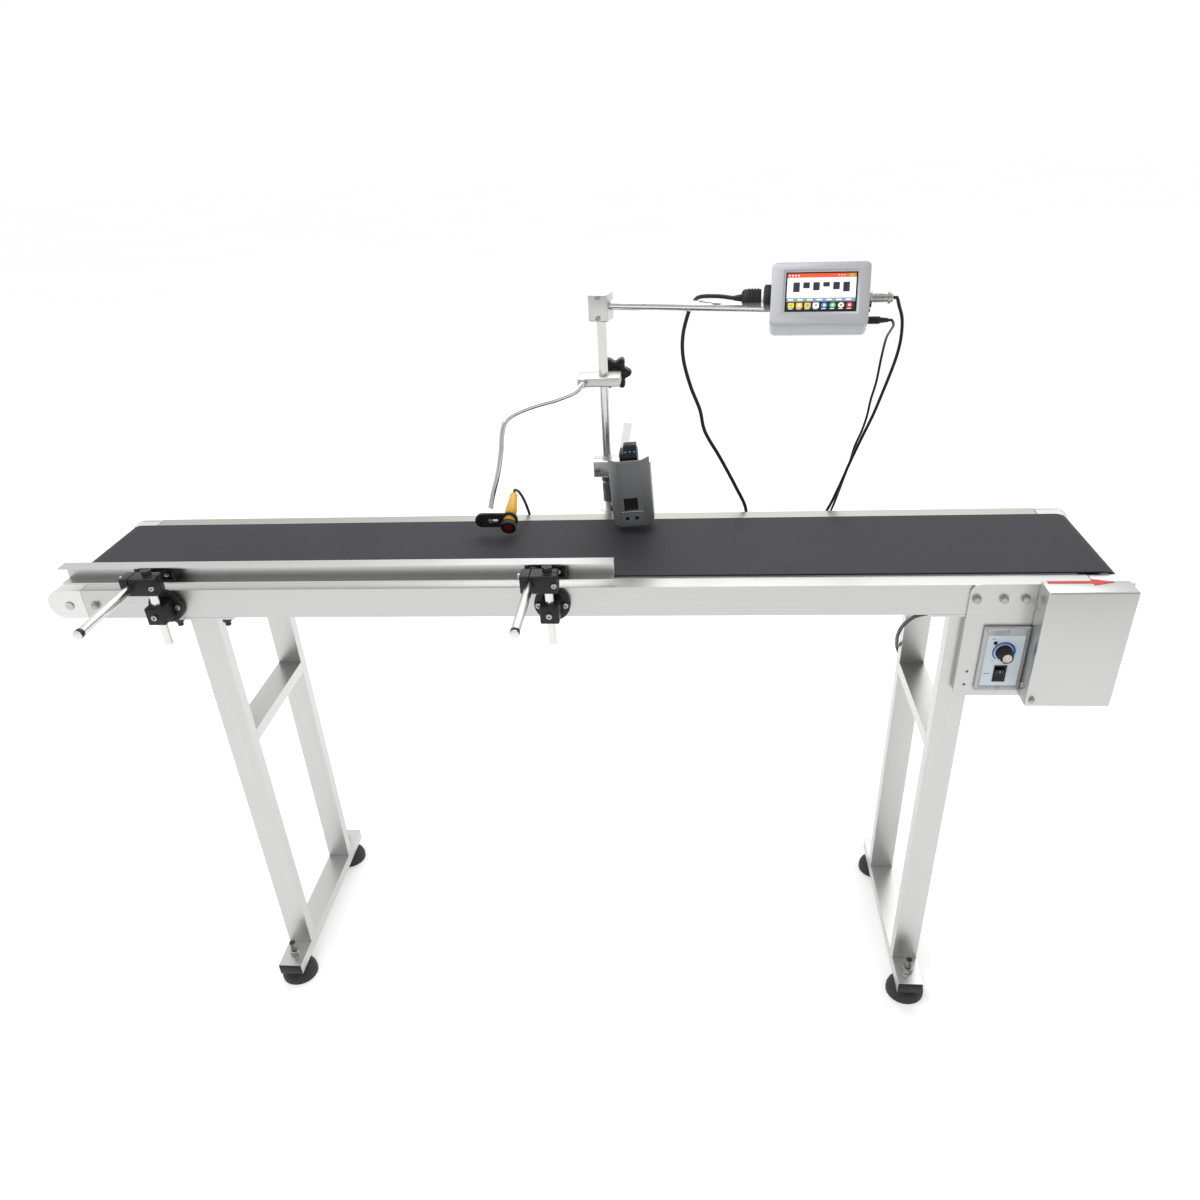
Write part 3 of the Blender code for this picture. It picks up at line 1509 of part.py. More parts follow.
belt()
rollers()
side_frames()
slider_bed()
nose_brackets()
legs()
braces_and_foot_bars()
levelling_feet()
drive_plate()
drive_cover()
gearmotor()
motor_sprocket()
drive_chain()
speed_panel()
speed_knob()
rocker_switch()
guide_bases()
guide_posts_and_clamps()
guide_rail_and_arms()
mast_base()
sensor_pieces = sensor_clamp_and_knob() + sensor() + [sensor_cable()]
hang_on("sensor_axis", tuple(mast_point(SENSOR_RISE)), *sensor_pieces)
mast_pieces = mast() + [controller(), head_clamp(), head_cable()]
mast_pieces += supply_lead_and_adapter()
hang_on("mast_axis", tuple(mast_point(0)), *mast_pieces)
coding_head()
mains_cord()
centre_the_part()
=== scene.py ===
import json
import math

import bmesh
import bpy
from mathutils import Matrix, Vector

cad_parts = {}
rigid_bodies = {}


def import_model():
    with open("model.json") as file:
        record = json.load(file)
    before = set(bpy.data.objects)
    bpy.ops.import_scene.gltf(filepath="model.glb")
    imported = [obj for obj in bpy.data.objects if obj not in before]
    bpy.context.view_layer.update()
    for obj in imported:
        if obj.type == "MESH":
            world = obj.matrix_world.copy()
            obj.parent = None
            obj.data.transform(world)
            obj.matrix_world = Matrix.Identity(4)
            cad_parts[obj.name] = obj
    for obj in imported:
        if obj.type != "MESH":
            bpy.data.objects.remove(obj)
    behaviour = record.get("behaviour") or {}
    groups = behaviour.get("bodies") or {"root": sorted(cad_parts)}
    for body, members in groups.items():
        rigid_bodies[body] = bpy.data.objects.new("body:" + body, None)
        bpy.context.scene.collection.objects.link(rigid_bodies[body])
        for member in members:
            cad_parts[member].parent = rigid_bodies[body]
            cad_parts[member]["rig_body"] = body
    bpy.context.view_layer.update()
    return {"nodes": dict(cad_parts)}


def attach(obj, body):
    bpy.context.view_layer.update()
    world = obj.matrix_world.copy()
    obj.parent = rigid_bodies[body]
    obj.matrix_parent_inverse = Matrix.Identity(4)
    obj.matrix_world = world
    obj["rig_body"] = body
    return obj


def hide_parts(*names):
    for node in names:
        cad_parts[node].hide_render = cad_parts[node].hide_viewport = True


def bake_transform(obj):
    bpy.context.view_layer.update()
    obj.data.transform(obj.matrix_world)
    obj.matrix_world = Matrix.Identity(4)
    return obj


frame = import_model()
NODES = frame["nodes"]

BELT = 0.765  # belt surface above the floor
MIDDLE = -0.023  # belt's centreline in the row frame
FRAME_SIDE = 0.131  # outer faces of the side frames from the centreline
MAST_X, MAST_Y = 0.045, 0.146
SWING = math.radians(-13.9)  # how far the mast's arm is swung towards the operator


def at(x, y, rise):
    """A point given along the belt, from its centreline and above its surface."""
    return Vector((x, y + MIDDLE, BELT + rise))


# ------------------------------------------------------------ camera, light and floor
def make_camera():
    data = bpy.data.cameras.new("viewpoint")
    data.sensor_width = 36
    data.lens = 28.445
    data.shift_y = 0.0667
    data.clip_start = 0.05
    data.clip_end = 60
    camera = bpy.data.objects.new("viewpoint", data)
    bpy.context.scene.collection.objects.link(camera)
    turn = (
        Matrix.Rotation(0.1054, 4, "Z")
        @ Matrix.Rotation(-0.5568, 4, "X")
        @ Matrix.Rotation(0.0538, 4, "Y")
        @ Matrix.Rotation(math.radians(90), 4, "X")
    )
    camera.matrix_world = Matrix.Translation((0.16641, -1.30738, 1.33566)) @ turn
    bpy.context.scene.camera = camera


def lamp(name, place, aim, size, watts):
    data = bpy.data.lights.new(name, "AREA")
    data.shape = "RECTANGLE"
    data.size, data.size_y = size
    data.energy = watts
    light = bpy.data.objects.new(name, data)
    light.location = place
    light.rotation_euler = (Vector(aim) - Vector(place)).to_track_quat("-Z", "Y").to_euler()
    bpy.context.scene.collection.objects.link(light)


# ------------------------------------------------------------ material maths
class Wire:
    """A socket of a look's node tree, with arithmetic that adds Math nodes."""

    def __init__(self, look, socket):
        self.look = look
        self.socket = socket

    def maths(self, operation, *values):
        return self.look.node("Math", {"operation": operation}, dict(enumerate(values)))

    def __add__(self, other):
        return self.maths("ADD", self, other)

    def __sub__(self, other):
        return self.maths("SUBTRACT", self, other)

    def __rsub__(self, other):
        return self.maths("SUBTRACT", other, self)

    def __mul__(self, other):
        return self.maths("MULTIPLY", self, other)

    def __pow__(self, other):
        return self.maths("POWER", self, other)

    __radd__ = __add__
    __rmul__ = __mul__


class Look:
    """A material built from nodes."""

    def __init__(self, name, **sockets):
        self.material = bpy.data.materials.new(name)
        self.material.use_nodes = True
        self.tree = self.material.node_tree
        self.shader = self.tree.nodes["Principled BSDF"]
        self.place = self.node("TexCoord", out="Object")
        self.set(self.shader, sockets)

    def set(self, node, sockets):
        for key, value in sockets.items():
            key = key.replace("_", " ").title() if isinstance(key, str) else key
            key = key.replace("Ior", "IOR") if isinstance(key, str) else key
            socket = node.inputs[key]
            if isinstance(value, Wire):
                self.tree.links.new(value.socket, socket)
            elif hasattr(value, "__len__") and len(value) == 3 and socket.type == "RGBA":
                socket.default_value = (*value, 1)
            else:
                socket.default_value = value

    def node(self, kind, settings=None, sockets=None, out=0):
        made = self.tree.nodes.new("ShaderNode" + kind)
        for key, value in (settings or {}).items():
            if key == "stops":
                ramp = made.color_ramp
                while len(ramp.elements) < len(value):
                    ramp.elements.new(1)
                for element, (position, colour) in zip(ramp.elements, value):
                    element.position = position
                    element.color = (*colour, 1)
            else:
                setattr(made, key, value)
        self.set(made, sockets or {})
        return Wire(self, made.outputs[out])

    def stretched(self, scale):
        return self.node("Mapping", None, {"vector": self.place, "scale": scale})

    def noise(self, scale, detail=2, stretch=None, roughness=0.5):
        vector = self.stretched(stretch) if stretch else self.place
        sockets = {"vector": vector, "scale": scale, "detail": detail}
        sockets["roughness"] = roughness
        return self.node("TexNoise", None, sockets)

    def ramp(self, factor, *stops):
        return self.node("ValToRGB", {"stops": stops}, {0: factor})

    def mix(self, factor, first, second):
        made = self.tree.nodes.new("ShaderNodeMix")
        made.data_type = "RGBA"
        self.set(made, {0: factor, 6: first, 7: second})
        return Wire(self, made.outputs[2])

    def bump(self, height, strength, distance):
        return self.node(
            "Bump", None, {"height": height, "strength": strength, "distance": distance}
        )

    def surface(self, **sockets):
        self.set(self.shader, sockets)
        return self


def brushed(name, colour, roughness, stretch, depth=0.00006):
    """Ground or brushed metal: fine lines along the axis with the small stretch."""
    look = Look(name, metallic=1.0)
    lines = look.noise(1.0, 3, stretch)
    cloud = look.noise(7.0, 3)
    dark = tuple(c * 0.80 for c in colour)
    tint = look.mix(lines * 0.6 + cloud * 0.4, dark, colour)
    return look.surface(
        base_color=tint,
        roughness=lines * 0.16 + cloud * 0.10 + (roughness - 0.13),
        normal=look.bump(lines, 0.25, depth),
    )


def moulded(name, colour, roughness, grain=900.0, depth=0.00008, tone=0.75):
    """Moulded plastic or rubber with a fine grain and a little handling shine."""
    look = Look(name, specular_ior_level=0.35)
    fine = look.noise(grain, 2)
    cloud = look.noise(22.0, 3)
    dark = tuple(c * tone for c in colour)
    return look.surface(
        base_color=look.mix(cloud, dark, colour),
        roughness=cloud * 0.14 + fine * 0.08 + (roughness - 0.11),
        normal=look.bump(fine, 0.35, depth),
    )


def painted(name, colour, roughness, metallic=0.0, grain=1500.0):
    """Powder coat: fine texture over a slow change of tone."""
    look = Look(name, metallic=metallic, coat_roughness=0.25)
    fine = look.noise(grain, 2)
    cloud = look.noise(14.0, 3)
    dark = tuple(c * 0.86 for c in colour)
    return look.surface(
        base_color=look.mix(cloud * 0.6 + fine * 0.4, dark, colour),
        roughness=cloud * 0.10 + fine * 0.10 + (roughness - 0.10),
        coat_weight=cloud * 0.15 + 0.10,
        normal=look.bump(fine, 0.30, 0.00010),
    )


def belt_look():
    look = Look("belt_fabric_black", specular_ior_level=0.28)
    weave_x = look.node(
        "TexWave",
        {"wave_type": "BANDS", "bands_direction": "X"},
        {"vector": look.place, "scale": 260.0},
        out="Fac",
    )
    weave_y = look.node(
        "TexWave",
        {"wave_type": "BANDS", "bands_direction": "Y"},
        {"vector": look.place, "scale": 260.0},
        out="Fac",
    )
    speckle = look.noise(620.0, 3, roughness=0.7)
    cloud = look.noise(9.0, 4)
    streak = look.noise(1.0, 3, (0.7, 55.0, 55.0))
    tone = speckle * 0.5 + cloud * 0.25 + streak * 0.25
    colour = look.ramp(
        tone,
        (0.34, (0.012, 0.012, 0.016)),
        (0.52, (0.024, 0.024, 0.030)),
        (0.70, (0.048, 0.048, 0.056)),
    )
    height = (weave_x + weave_y) * 0.3 + speckle * 0.8
    return look.surface(
        base_color=colour,
        roughness=streak * 0.16 + cloud * 0.10 + 0.50,
        normal=look.bump(height, 0.5, 0.00018),
    )


def glowing(name, colour, light, other=None):
    """A lit patch of the touch screen: even colour with a faint change across it. The cartridge's blue contact dots use
    it too, and there the glow is painted light, as they are no lamp.
    """
    look = Look(name, roughness=0.25, emission_strength=light)
    shade = look.noise(60.0, 1)
    other = other or tuple(c * 0.8 for c in colour)
    tint = look.mix(shade, other, colour)
    return look.surface(base_color=tint, emission_color=tint)


def floor_look():
    look = Look(
        "studio_floor", roughness=0.9, emission_color=(1, 1, 1), emission_strength=0.22
    )
    cloud = look.noise(0.8, 2)
    return look.surface(
        base_color=look.mix(cloud, (0.93, 0.93, 0.93), (0.96, 0.96, 0.96))
    )


# ------------------------------------------------------------ modelling tools
def activate(piece):
    if bpy.context.mode != "OBJECT":
        bpy.ops.object.mode_set(mode="OBJECT")
    bpy.ops.object.select_all(action="DESELECT")
    piece.select_set(True)
    bpy.context.view_layer.objects.active = piece


def settle(piece):
    """Puts the piece's place into its mesh."""
    activate(piece)
    bpy.ops.object.transform_apply(location=True, rotation=True, scale=True)
    return piece


def block(name, low, high):
    low, high = Vector(low), Vector(high)
    low, high = Vector(map(min, low, high)), Vector(map(max, low, high))
    bpy.ops.object.select_all(action="DESELECT")
    bpy.ops.mesh.primitive_cube_add(
        size=1, location=(low + high) / 2, scale=high - low
    )
    piece = bpy.context.object
    piece.name = name
    return settle(piece)


def bar(name, start, end, radius, sides=32):
    start, end = Vector(start), Vector(end)
    bpy.ops.object.select_all(action="DESELECT")
    bpy.ops.mesh.primitive_cylinder_add(
        vertices=sides,
        radius=radius,
        depth=(end - start).length,
        location=(start + end) / 2,
        rotation=(end - start).to_track_quat("Z", "Y").to_euler(),
    )
    piece = bpy.context.object
    piece.name = name
    return settle(piece)


def taper(name, start, end, first, last, sides=32):
    start, end = Vector(start), Vector(end)
    bpy.ops.object.select_all(action="DESELECT")
    bpy.ops.mesh.primitive_cone_add(
        vertices=sides,
        radius1=first,
        radius2=last,
        depth=(end - start).length,
        location=(start + end) / 2,
        rotation=(end - start).to_track_quat("Z", "Y").to_euler(),
    )
    piece = bpy.context.object
    piece.name = name
    return settle(piece)


def pick(piece, wanted):
    """Enters edit mode with just the faces whose centre and normal pass wanted."""
    activate(piece)
    bpy.ops.object.mode_set(mode="EDIT")
    bpy.ops.mesh.select_mode(type="FACE")
    bpy.ops.mesh.select_all(action="DESELECT")
    shape = bmesh.from_edit_mesh(piece.data)
    for face in shape.faces:
        face.select = wanted(face.calc_center_median(), face.normal)
    bmesh.update_edit_mesh(piece.data)


def inset_push(piece, wanted, inset, push, scale=None):
    """Insets the faces that pass wanted, then extrudes them by push."""
    pick(piece, wanted)
    if inset:
        bpy.ops.mesh.inset(thickness=inset)
    bpy.ops.mesh.extrude_region_move(TRANSFORM_OT_translate={"value": push})
    if scale:
        bpy.ops.transform.resize(value=scale)
    bpy.ops.object.mode_set(mode="OBJECT")
    return piece


def apply_step(piece, step):
    activate(piece)
    bpy.ops.object.modifier_apply(modifier=step.name)


def soften(piece, width, segments=2, angle=30):
    step = piece.modifiers.new("edges", "BEVEL")
    step.width = width
    step.segments = segments
    step.limit_method = "ANGLE"
    step.angle_limit = math.radians(angle)
    apply_step(piece, step)
    return piece


def carve(piece, *cutters, operation="DIFFERENCE"):
    for cutter in cutters:
        step = piece.modifiers.new("carve", "BOOLEAN")
        step.operation = operation
        step.solver = "EXACT"
        step.object = cutter
        apply_step(piece, step)
        mesh = cutter.data
        bpy.data.objects.remove(cutter)
        bpy.data.meshes.remove(mesh)
    return piece


def weld(piece, *others):
    return carve(piece, *others, operation="UNION")


def gather(name, pieces):
    """Makes one object of several that stay separate shells."""
    activate(pieces[0])
    for piece in pieces:
        piece.select_set(True)
    bpy.ops.object.join()
    pieces[0].name = name
    return pieces[0]


def placed(piece, matrix):
    piece.matrix_world = matrix @ piece.matrix_world
    return settle(piece)


def copy_to(source, name, matrix):
    piece = source.copy()
    piece.data = source.data.copy()
    piece.name = name
    bpy.context.scene.collection.objects.link(piece)
    piece.matrix_world = matrix
    return settle(piece)


def done(piece, body, look, hides=(), smooth=35):
    """Gives the piece its look, names its mesh after it, shades the piece and sets it riding on its body."""
    if piece.type == "MESH":
        activate(piece)
        bpy.ops.object.shade_smooth_by_angle(angle=math.radians(smooth))
    if look:
        piece.data.materials.clear()
        piece.data.materials.append(look.material)
    piece.data.name = piece.name
    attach(piece, body)
    if hides:
        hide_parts(*hides)
    return piece


def dress(look, *names):
    """Gives CAD nodes a look."""
    for name in names:
        for slot in NODES[name].material_slots:
            slot.material = look.material


def facing(place, direction):
    """A frame at place whose Z points along direction."""
    turn = Vector(direction).to_track_quat("Z", "Y").to_matrix().to_4x4()
    return Matrix.Translation(place) @ turn


def smooth_route(points, step):
    """Points about a step apart on a smooth curve through the route's own points."""
    points = [Vector(p) for p in points]
    padded = [2 * points[0] - points[1], *points, 2 * points[-1] - points[-2]]
    found = []
    for a, b, c, d in zip(padded, padded[1:], padded[2:], padded[3:]):
        count = max(1, round((c - b).length / step))
        for i in range(count):
            t = i / count
            found.append(
                0.5
                * (
                    2 * b
                    + (c - a) * t
                    + (2 * a - 5 * b + 4 * c - d) * t**2
                    + (3 * b - a - 3 * c + d) * t**3
                )
            )
    return [*found, points[-1]]


def tube(name, points, radius, radii=None, resolution=5):
    curve = bpy.data.curves.new(name, "CURVE")
    curve.dimensions = "3D"
    curve.bevel_depth = radius
    curve.bevel_resolution = resolution
    curve.use_fill_caps = True
    spline = curve.splines.new("POLY")
    spline.points.add(len(points) - 1)
    for index, (point, place) in enumerate(zip(spline.points, points)):
        point.co = (*place, 1)
        point.radius = radii[index] if radii else 1
    piece = bpy.data.objects.new(name, curve)
    bpy.context.scene.collection.objects.link(piece)
    return piece


def run_length(points):
    return sum((b - a).length for a, b in zip(points, points[1:]))


# ------------------------------------------------------------ small fixings
def socket_screw(radius, height):
    """A cap screw standing on the origin, head up, with a hexagon socket."""
    head = bar("cap_screw", (0, 0, 0), (0, 0, height), radius, 24)
    soften(head, radius * 0.12, 2)
    key = bar("key", (0, 0, height * 0.45), (0, 0, height * 1.5), radius * 0.52, 6)
    return carve(head, key)


def hex_nut(radius, height, bore):
    """A nut standing on the origin, its corners chamfered, with a hole."""
    nut = bar("nut", (0, 0, 0), (0, 0, height), radius, 6)
    soften(nut, radius * 0.07, 2)
    if bore:
        hole = bar("bore", (0, 0, -height), (0, 0, height * 2), bore, 24)
        carve(nut, hole)
    return nut


def dome_screw(radius, height):
    """A pan head screw standing on the origin, with a cross slot."""
    head = bar("pan_screw", (0, 0, 0), (0, 0, height), radius, 24)
    pick(head, lambda centre, normal: normal.z > 0.9)
    bpy.ops.mesh.bevel(offset=min(height * 0.8, radius * 0.5), segments=3)
    bpy.ops.object.mode_set(mode="OBJECT")
    arm, wide = radius * 0.55, radius * 0.11
    for index, (x, y) in enumerate(((arm, wide), (wide, arm))):
        slot = block(f"slot_{index}", (-x, -y, height * 0.5), (x, y, height * 2))
        carve(head, slot)
    return head


def scatter(name, source, spots, body, look, keep=False):
    """Copies of one fixing at (place, direction) spots, as one object."""
    copies = [
        copy_to(source, f"{name}_{i}", facing(place, direction))
        for i, (place, direction) in enumerate(spots)
    ]
    if not keep:
        bpy.data.objects.remove(source)
    made = gather(name, copies) if len(copies) > 1 else copies[0]
    made.name = name
    return done(made, body, look)


# ------------------------------------------------------------ cords
HOUSING = (
    Matrix.Translation(at(0.340, 0.043, 0.333))
    @ Matrix.Rotation(math.radians(-6), 4, "Z")
    @ Matrix.Rotation(math.radians(-30), 4, "X")
)
LENS = at(-0.099, 0.030, 0.0165)
LENS_TILT = math.radians(20)
LENS_AXIS = Vector((0, math.cos(LENS_TILT), math.sin(LENS_TILT)))
BARREL = Matrix.Translation(LENS) @ Matrix.Rotation(LENS_TILT, 4, "X")

HEAD_CABLE_ROUTE = (
    (0.2105, 0.0900, 0.3250),
    (0.1860, 0.1150, 0.3205),
    (0.1775, 0.1310, 0.3110),
    (0.1700, 0.1400, 0.2950),
    (0.1622, 0.1430, 0.2627),
    (0.1632, 0.1440, 0.2292),
    (0.1740, 0.1440, 0.1900),
    (0.1879, 0.1440, 0.1554),
    (0.1958, 0.1440, 0.1221),
    (0.2192, 0.1440, 0.0814),
    (0.2440, 0.1440, 0.0350),
    (0.2620, 0.1440, -0.0050),
    (0.2570, 0.1450, -0.0420),
    (0.2300, 0.1480, -0.0620),
    (0.1900, 0.1540, -0.0600),
    (0.1500, 0.1580, -0.0420),
    (0.1080, 0.1560, -0.0160),
    (0.0960, 0.1460, 0.0140),
    (0.0985, 0.1250, 0.0370),
    (0.0980, 0.1080, 0.0400),
    (0.0980, 0.0953, 0.0400),
)
SENSOR_CABLE_ROUTE = (
    (0.4450, 0.0560, 0.3120),
    (0.4525, 0.0650, 0.2950),
    (0.4575, 0.0800, 0.2720),
    (0.4590, 0.0940, 0.2474),
    (0.4558, 0.1040, 0.2204),
    (0.4481, 0.1140, 0.1841),
    (0.4388, 0.1220, 0.1470),
    (0.4275, 0.1280, 0.1129),
    (0.4141, 0.1330, 0.0722),
    (0.4026, 0.1370, 0.0344),
    (0.3878, 0.1400, -0.0052),
    (0.3660, 0.1440, -0.0420),
    (0.3250, 0.1530, -0.0680),
    (0.2600, 0.1680, -0.0780),
    (0.1900, 0.1770, -0.0790),
    (0.1200, 0.1790, -0.0770),
    (0.0500, 0.1770, -0.0750),
    (-0.0100, 0.1680, -0.0690),
    (-0.0550, 0.1550, -0.0540),
    (-0.0790, 0.1460, -0.0280),
    (-0.0850, 0.1400, 0.0000),
    (-0.0900, 0.1330, 0.0230),
    (-0.0950, 0.1220, 0.0400),
)
SUPPLY_CABLE_ROUTE = (
    (0.4395, 0.0500, 0.2890),
    (0.4412, 0.0740, 0.2770),
    (0.4420, 0.1020, 0.2600),
    (0.4426, 0.1240, 0.2285),
    (0.4412, 0.1340, 0.1926),
    (0.4370, 0.1390, 0.1663),
    (0.4344, 0.1420, 0.1406),
    (0.4292, 0.1440, 0.1172),
    (0.4216, 0.1460, 0.0940),
    (0.4167, 0.1480, 0.0680),
    (0.4105, 0.1490, 0.0431),
    (0.4035, 0.1490, 0.0175),
    (0.3961, 0.1490, -0.0073),
    (0.3783, 0.1490, -0.0529),
    (0.3350, 0.1490, -0.0880),
    (0.2700, 0.1500, -0.1020),
    (0.2000, 0.1490, -0.1040),
    (0.1450, 0.1480, -0.0990),
)
MAINS_ROUTE = (
    (-0.0020, 0.0530, -0.0800),
    (-0.0110, 0.0770, -0.0860),
    (-0.0190, 0.1010, -0.0980),
    (-0.0327, 0.1330, -0.1211),
    (-0.0387, 0.1720, -0.1583),
    (-0.0345, 0.2110, -0.1965),
    (-0.0268, 0.2420, -0.2270),
    (-0.0195, 0.2640, -0.2500),
    (-0.0080, 0.2720, -0.2760),
    (0.0040, 0.2760, -0.3000),
)
LEG_X = 0.542
HANK_X = 0.551
HANK_Y = 0.1439
HANK_TOP = -0.330
HANK_LOW = HANK_TOP - 0.154


def as_mesh(curve):
    bpy.context.view_layer.update()
    activate(curve)
    bpy.ops.object.convert(target="MESH")
    return bpy.context.object


def loosen(cord):
    """Takes a cord off its body, for one that blends between two."""
    del cord["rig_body"]
    cord.parent = None


def head_cable(look):
    start = [HOUSING @ Vector((-0.1023, 0.022, 0.003))]
    start.append(HOUSING @ Vector((-0.112, 0.022, 0.003)))
    points = smooth_route([*start, *(at(*p) for p in HEAD_CABLE_ROUTE)], 0.008)
    cord = as_mesh(tube("printhead_cord", points, 0.00275))
    done(cord, "mast", look, ["printhead_cable"])
    loosen(cord)
    round(run_length(points), 3)
    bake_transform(cord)


def side_cord(name, reach, rise, route, end, radius, body, look, hides):
    start = [HOUSING @ Vector((reach + 0.0003, 0.022, rise))]
    start.append(HOUSING @ Vector((reach + 0.005, 0.022, rise)))
    points = smooth_route([*start, *(at(*p) for p in route), *end], 0.008)
    cord = tube(name, points, radius)
    if body == "sensor":
        cord = as_mesh(cord)
    done(cord, body, look, hides)
    round(run_length(points), 3)
    if body == "sensor":
        loosen(cord)
        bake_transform(cord)


def hank_points():
    """Three full turns of an upright oval, stepping one cord's width each turn, that
    start down one side and end at the bottom."""
    radius, pitch = 0.018, 0.0061
    high = HANK_TOP - 0.003 - radius
    low = HANK_LOW + 0.003 + radius
    points = []
    for turn in range(4):
        x = HANK_X - 1.5 * pitch + turn * pitch
        first = 1 if turn == 0 else 0
        for i in range(first, 5):
            points.append(at(x, HANK_Y + radius, high - 0.010 + (low + 0.010 - high) * i / 4))
        if turn == 3:
            break
        for i in range(1, 8):
            swing = math.pi * i / 8
            points.append(
                at(
                    x,
                    HANK_Y + radius * math.cos(swing),
                    low - radius * math.sin(swing),
                )
            )
        for i in range(5):
            points.append(at(x + pitch * i / 4, HANK_Y - radius, low + (high - low) * i / 4))
        for i in range(1, 8):
            swing = math.pi * i / 8
            points.append(
                at(
                    x + pitch,
                    HANK_Y - radius * math.cos(swing),
                    high + radius * math.sin(swing),
                )
            )
    return points


def mains_cord(look, tie_look, metal_look):
    gland = at(0.5701, -0.0890, -0.0780)
    free = [at(LEG_X + x, y - FRAME_SIDE, z) for x, y, z in MAINS_ROUTE]
    into_hank = [
        at(HANK_X - 0.008, HANK_Y + 0.001, HANK_TOP + 0.012),
        at(HANK_X - 0.009, HANK_Y + 0.004, HANK_TOP - 0.004),
    ]
    out_of_hank = [
        at(HANK_X + 0.0085, HANK_Y + 0.0165, HANK_LOW + 0.017),
        at(HANK_X + 0.0050, HANK_Y + 0.0100, HANK_LOW + 0.006),
        at(HANK_X + 0.0010, HANK_Y + 0.0020, HANK_LOW - 0.001),
        at(HANK_X, HANK_Y, HANK_LOW - 0.008),
    ]
    route = [gland, gland + Vector((-0.012, 0, 0)), *free, *into_hank]
    route += [*hank_points(), *out_of_hank]
    points = smooth_route(route, 0.008)
    cord = tube("mains_cord", points, 0.003)
    done(cord, "frame", look, ["mains_lead", "mains_hank"])
    top = at(HANK_X, HANK_Y, HANK_LOW - 0.0003)
    neck = taper("plug_relief", top, top - Vector((0, 0, 0.022)), 0.0038, 0.0062)
    body_high = top + Vector((0.0105, 0.0145, -0.0200))
    body_low = top + Vector((-0.0105, -0.0145, -0.0583))
    body = block("mains_plug_body", body_low, body_high)
    inset_push(
        body,
        lambda centre, normal: normal.z > 0.9,
        0,
        (0, 0, -0.004),
    )
    pick(body, lambda centre, normal: normal.z > 0.9)
    bpy.ops.transform.resize(value=(0.82, 0.80, 1.0))
    bpy.ops.object.mode_set(mode="OBJECT")
    soften(body, 0.0035, 3, 40)
    weld(body, neck)
    for index in range(3):
        z = top.z - 0.0045 - 0.0050 * index
        ring = bar(
            f"relief_ring_{index}",
            (top.x, top.y, z),
            (top.x, top.y, z - 0.0022),
            0.0060,
        )
        weld(body, ring)
    soften(body, 0.0004, 1, 50)
    plug = done(body, "frame", look, ["mains_plug"])
    pins = []
    for sign in (-1, 1):
        foot = Vector((top.x, top.y + sign * 0.0095, body_low.z + 0.002))
        pin = bar("pin", foot, foot - Vector((0, 0, 0.0205)), 0.0023, 20)
        pins.append(soften(pin, 0.0012, 3))
    pins = done(gather("plug_pins", pins), "frame", metal_look)
    round(run_length(points), 3)
    relief = taper(
        "mains_relief", gland, gland + Vector((-0.024, 0, 0)), 0.0068, 0.0040
    )
    for index in range(4):
        x = gland.x - 0.0030 - index * 0.0052
        ring = bar(
            f"gland_ring_{index}",
            (x, gland.y, gland.z),
            (x - 0.0024, gland.y, gland.z),
            0.0072 - 0.0006 * index,
        )
        weld(relief, ring)
    done(soften(relief, 0.0003, 1), "frame", look)
    middle = (HANK_TOP + HANK_LOW) / 2
    tie = block(
        "hank_tie",
        at(HANK_X - 0.0128, HANK_Y - 0.0215, middle - 0.006),
        at(HANK_X + 0.0128, HANK_Y + 0.0215, middle + 0.006),
    )
    hollow = block(
        "tie_inside",
        at(HANK_X - 0.0122, HANK_Y - 0.0209, middle - 0.02),
        at(HANK_X + 0.0122, HANK_Y + 0.0209, middle + 0.02),
    )
    carve(tie, hollow)
    done(soften(tie, 0.0002, 1), "frame", tie_look)


def make_cords(look, tie_look, metal_look):
    head_cable(look)
    end = [LENS + LENS_AXIS * 0.087, LENS + LENS_AXIS * 0.0793]
    side_cord(
        "photocell_cord", 0.094, 0.001, SENSOR_CABLE_ROUTE, end, 0.00225,
        "sensor", look, ["photocell_cable"],
    )
    end = [at(0.114, 0.146, -0.096), at(0.1023, 0.146, -0.096)]
    side_cord(
        "supply_cord", 0.089, -0.028, SUPPLY_CABLE_ROUTE, end, 0.00175,
        "mast", look, ["dc_lead"],
    )
    mains_cord(look, tie_look, metal_look)


# ------------------------------------------------------------ looks
STAINLESS_X = brushed("stainless_brushed_along", (0.62, 0.62, 0.61), 0.34, (3, 420, 420))
STAINLESS_Z = brushed("stainless_brushed_upright", (0.64, 0.64, 0.63), 0.34, (420, 420, 3))
STAINLESS_Y = brushed("stainless_brushed_across", (0.66, 0.66, 0.65), 0.34, (420, 3, 420))
BRIGHT_ROD = brushed("bright_rod", (0.80, 0.80, 0.79), 0.20, (90, 90, 90), 0.00002)
NOSE_METAL = brushed("nose_plate", (0.80, 0.80, 0.79), 0.30, (4, 300, 300), 0.00001)
# a darker, warmer copy of the frame's brushed stainless for the rear side frame: painted shade
REAR_RAIL_PAINTED_SHADE = brushed("stainless_rear_rail_painted_shade", (0.50, 0.49, 0.45), 0.36, (3, 420, 420))
ZINC = brushed("zinc_plate", (0.60, 0.60, 0.57), 0.36, (130, 130, 130), 0.00003)
FIXING = brushed("screw_steel", (0.46, 0.46, 0.45), 0.30, (300, 300, 300), 0.00002)
DARK_FIXING = brushed("blackened_steel", (0.06, 0.06, 0.065), 0.38, (300, 300, 300), 0.00002)
CHROME = brushed("chrome_neck", (0.86, 0.86, 0.87), 0.14, (60, 60, 60), 0.00001)
CLAMP_METAL = brushed("clamp_aluminium", (0.74, 0.74, 0.73), 0.38, (6, 360, 360))
BELT_LOOK = belt_look()
BLACK = moulded("black_moulding", (0.010, 0.010, 0.011), 0.42)
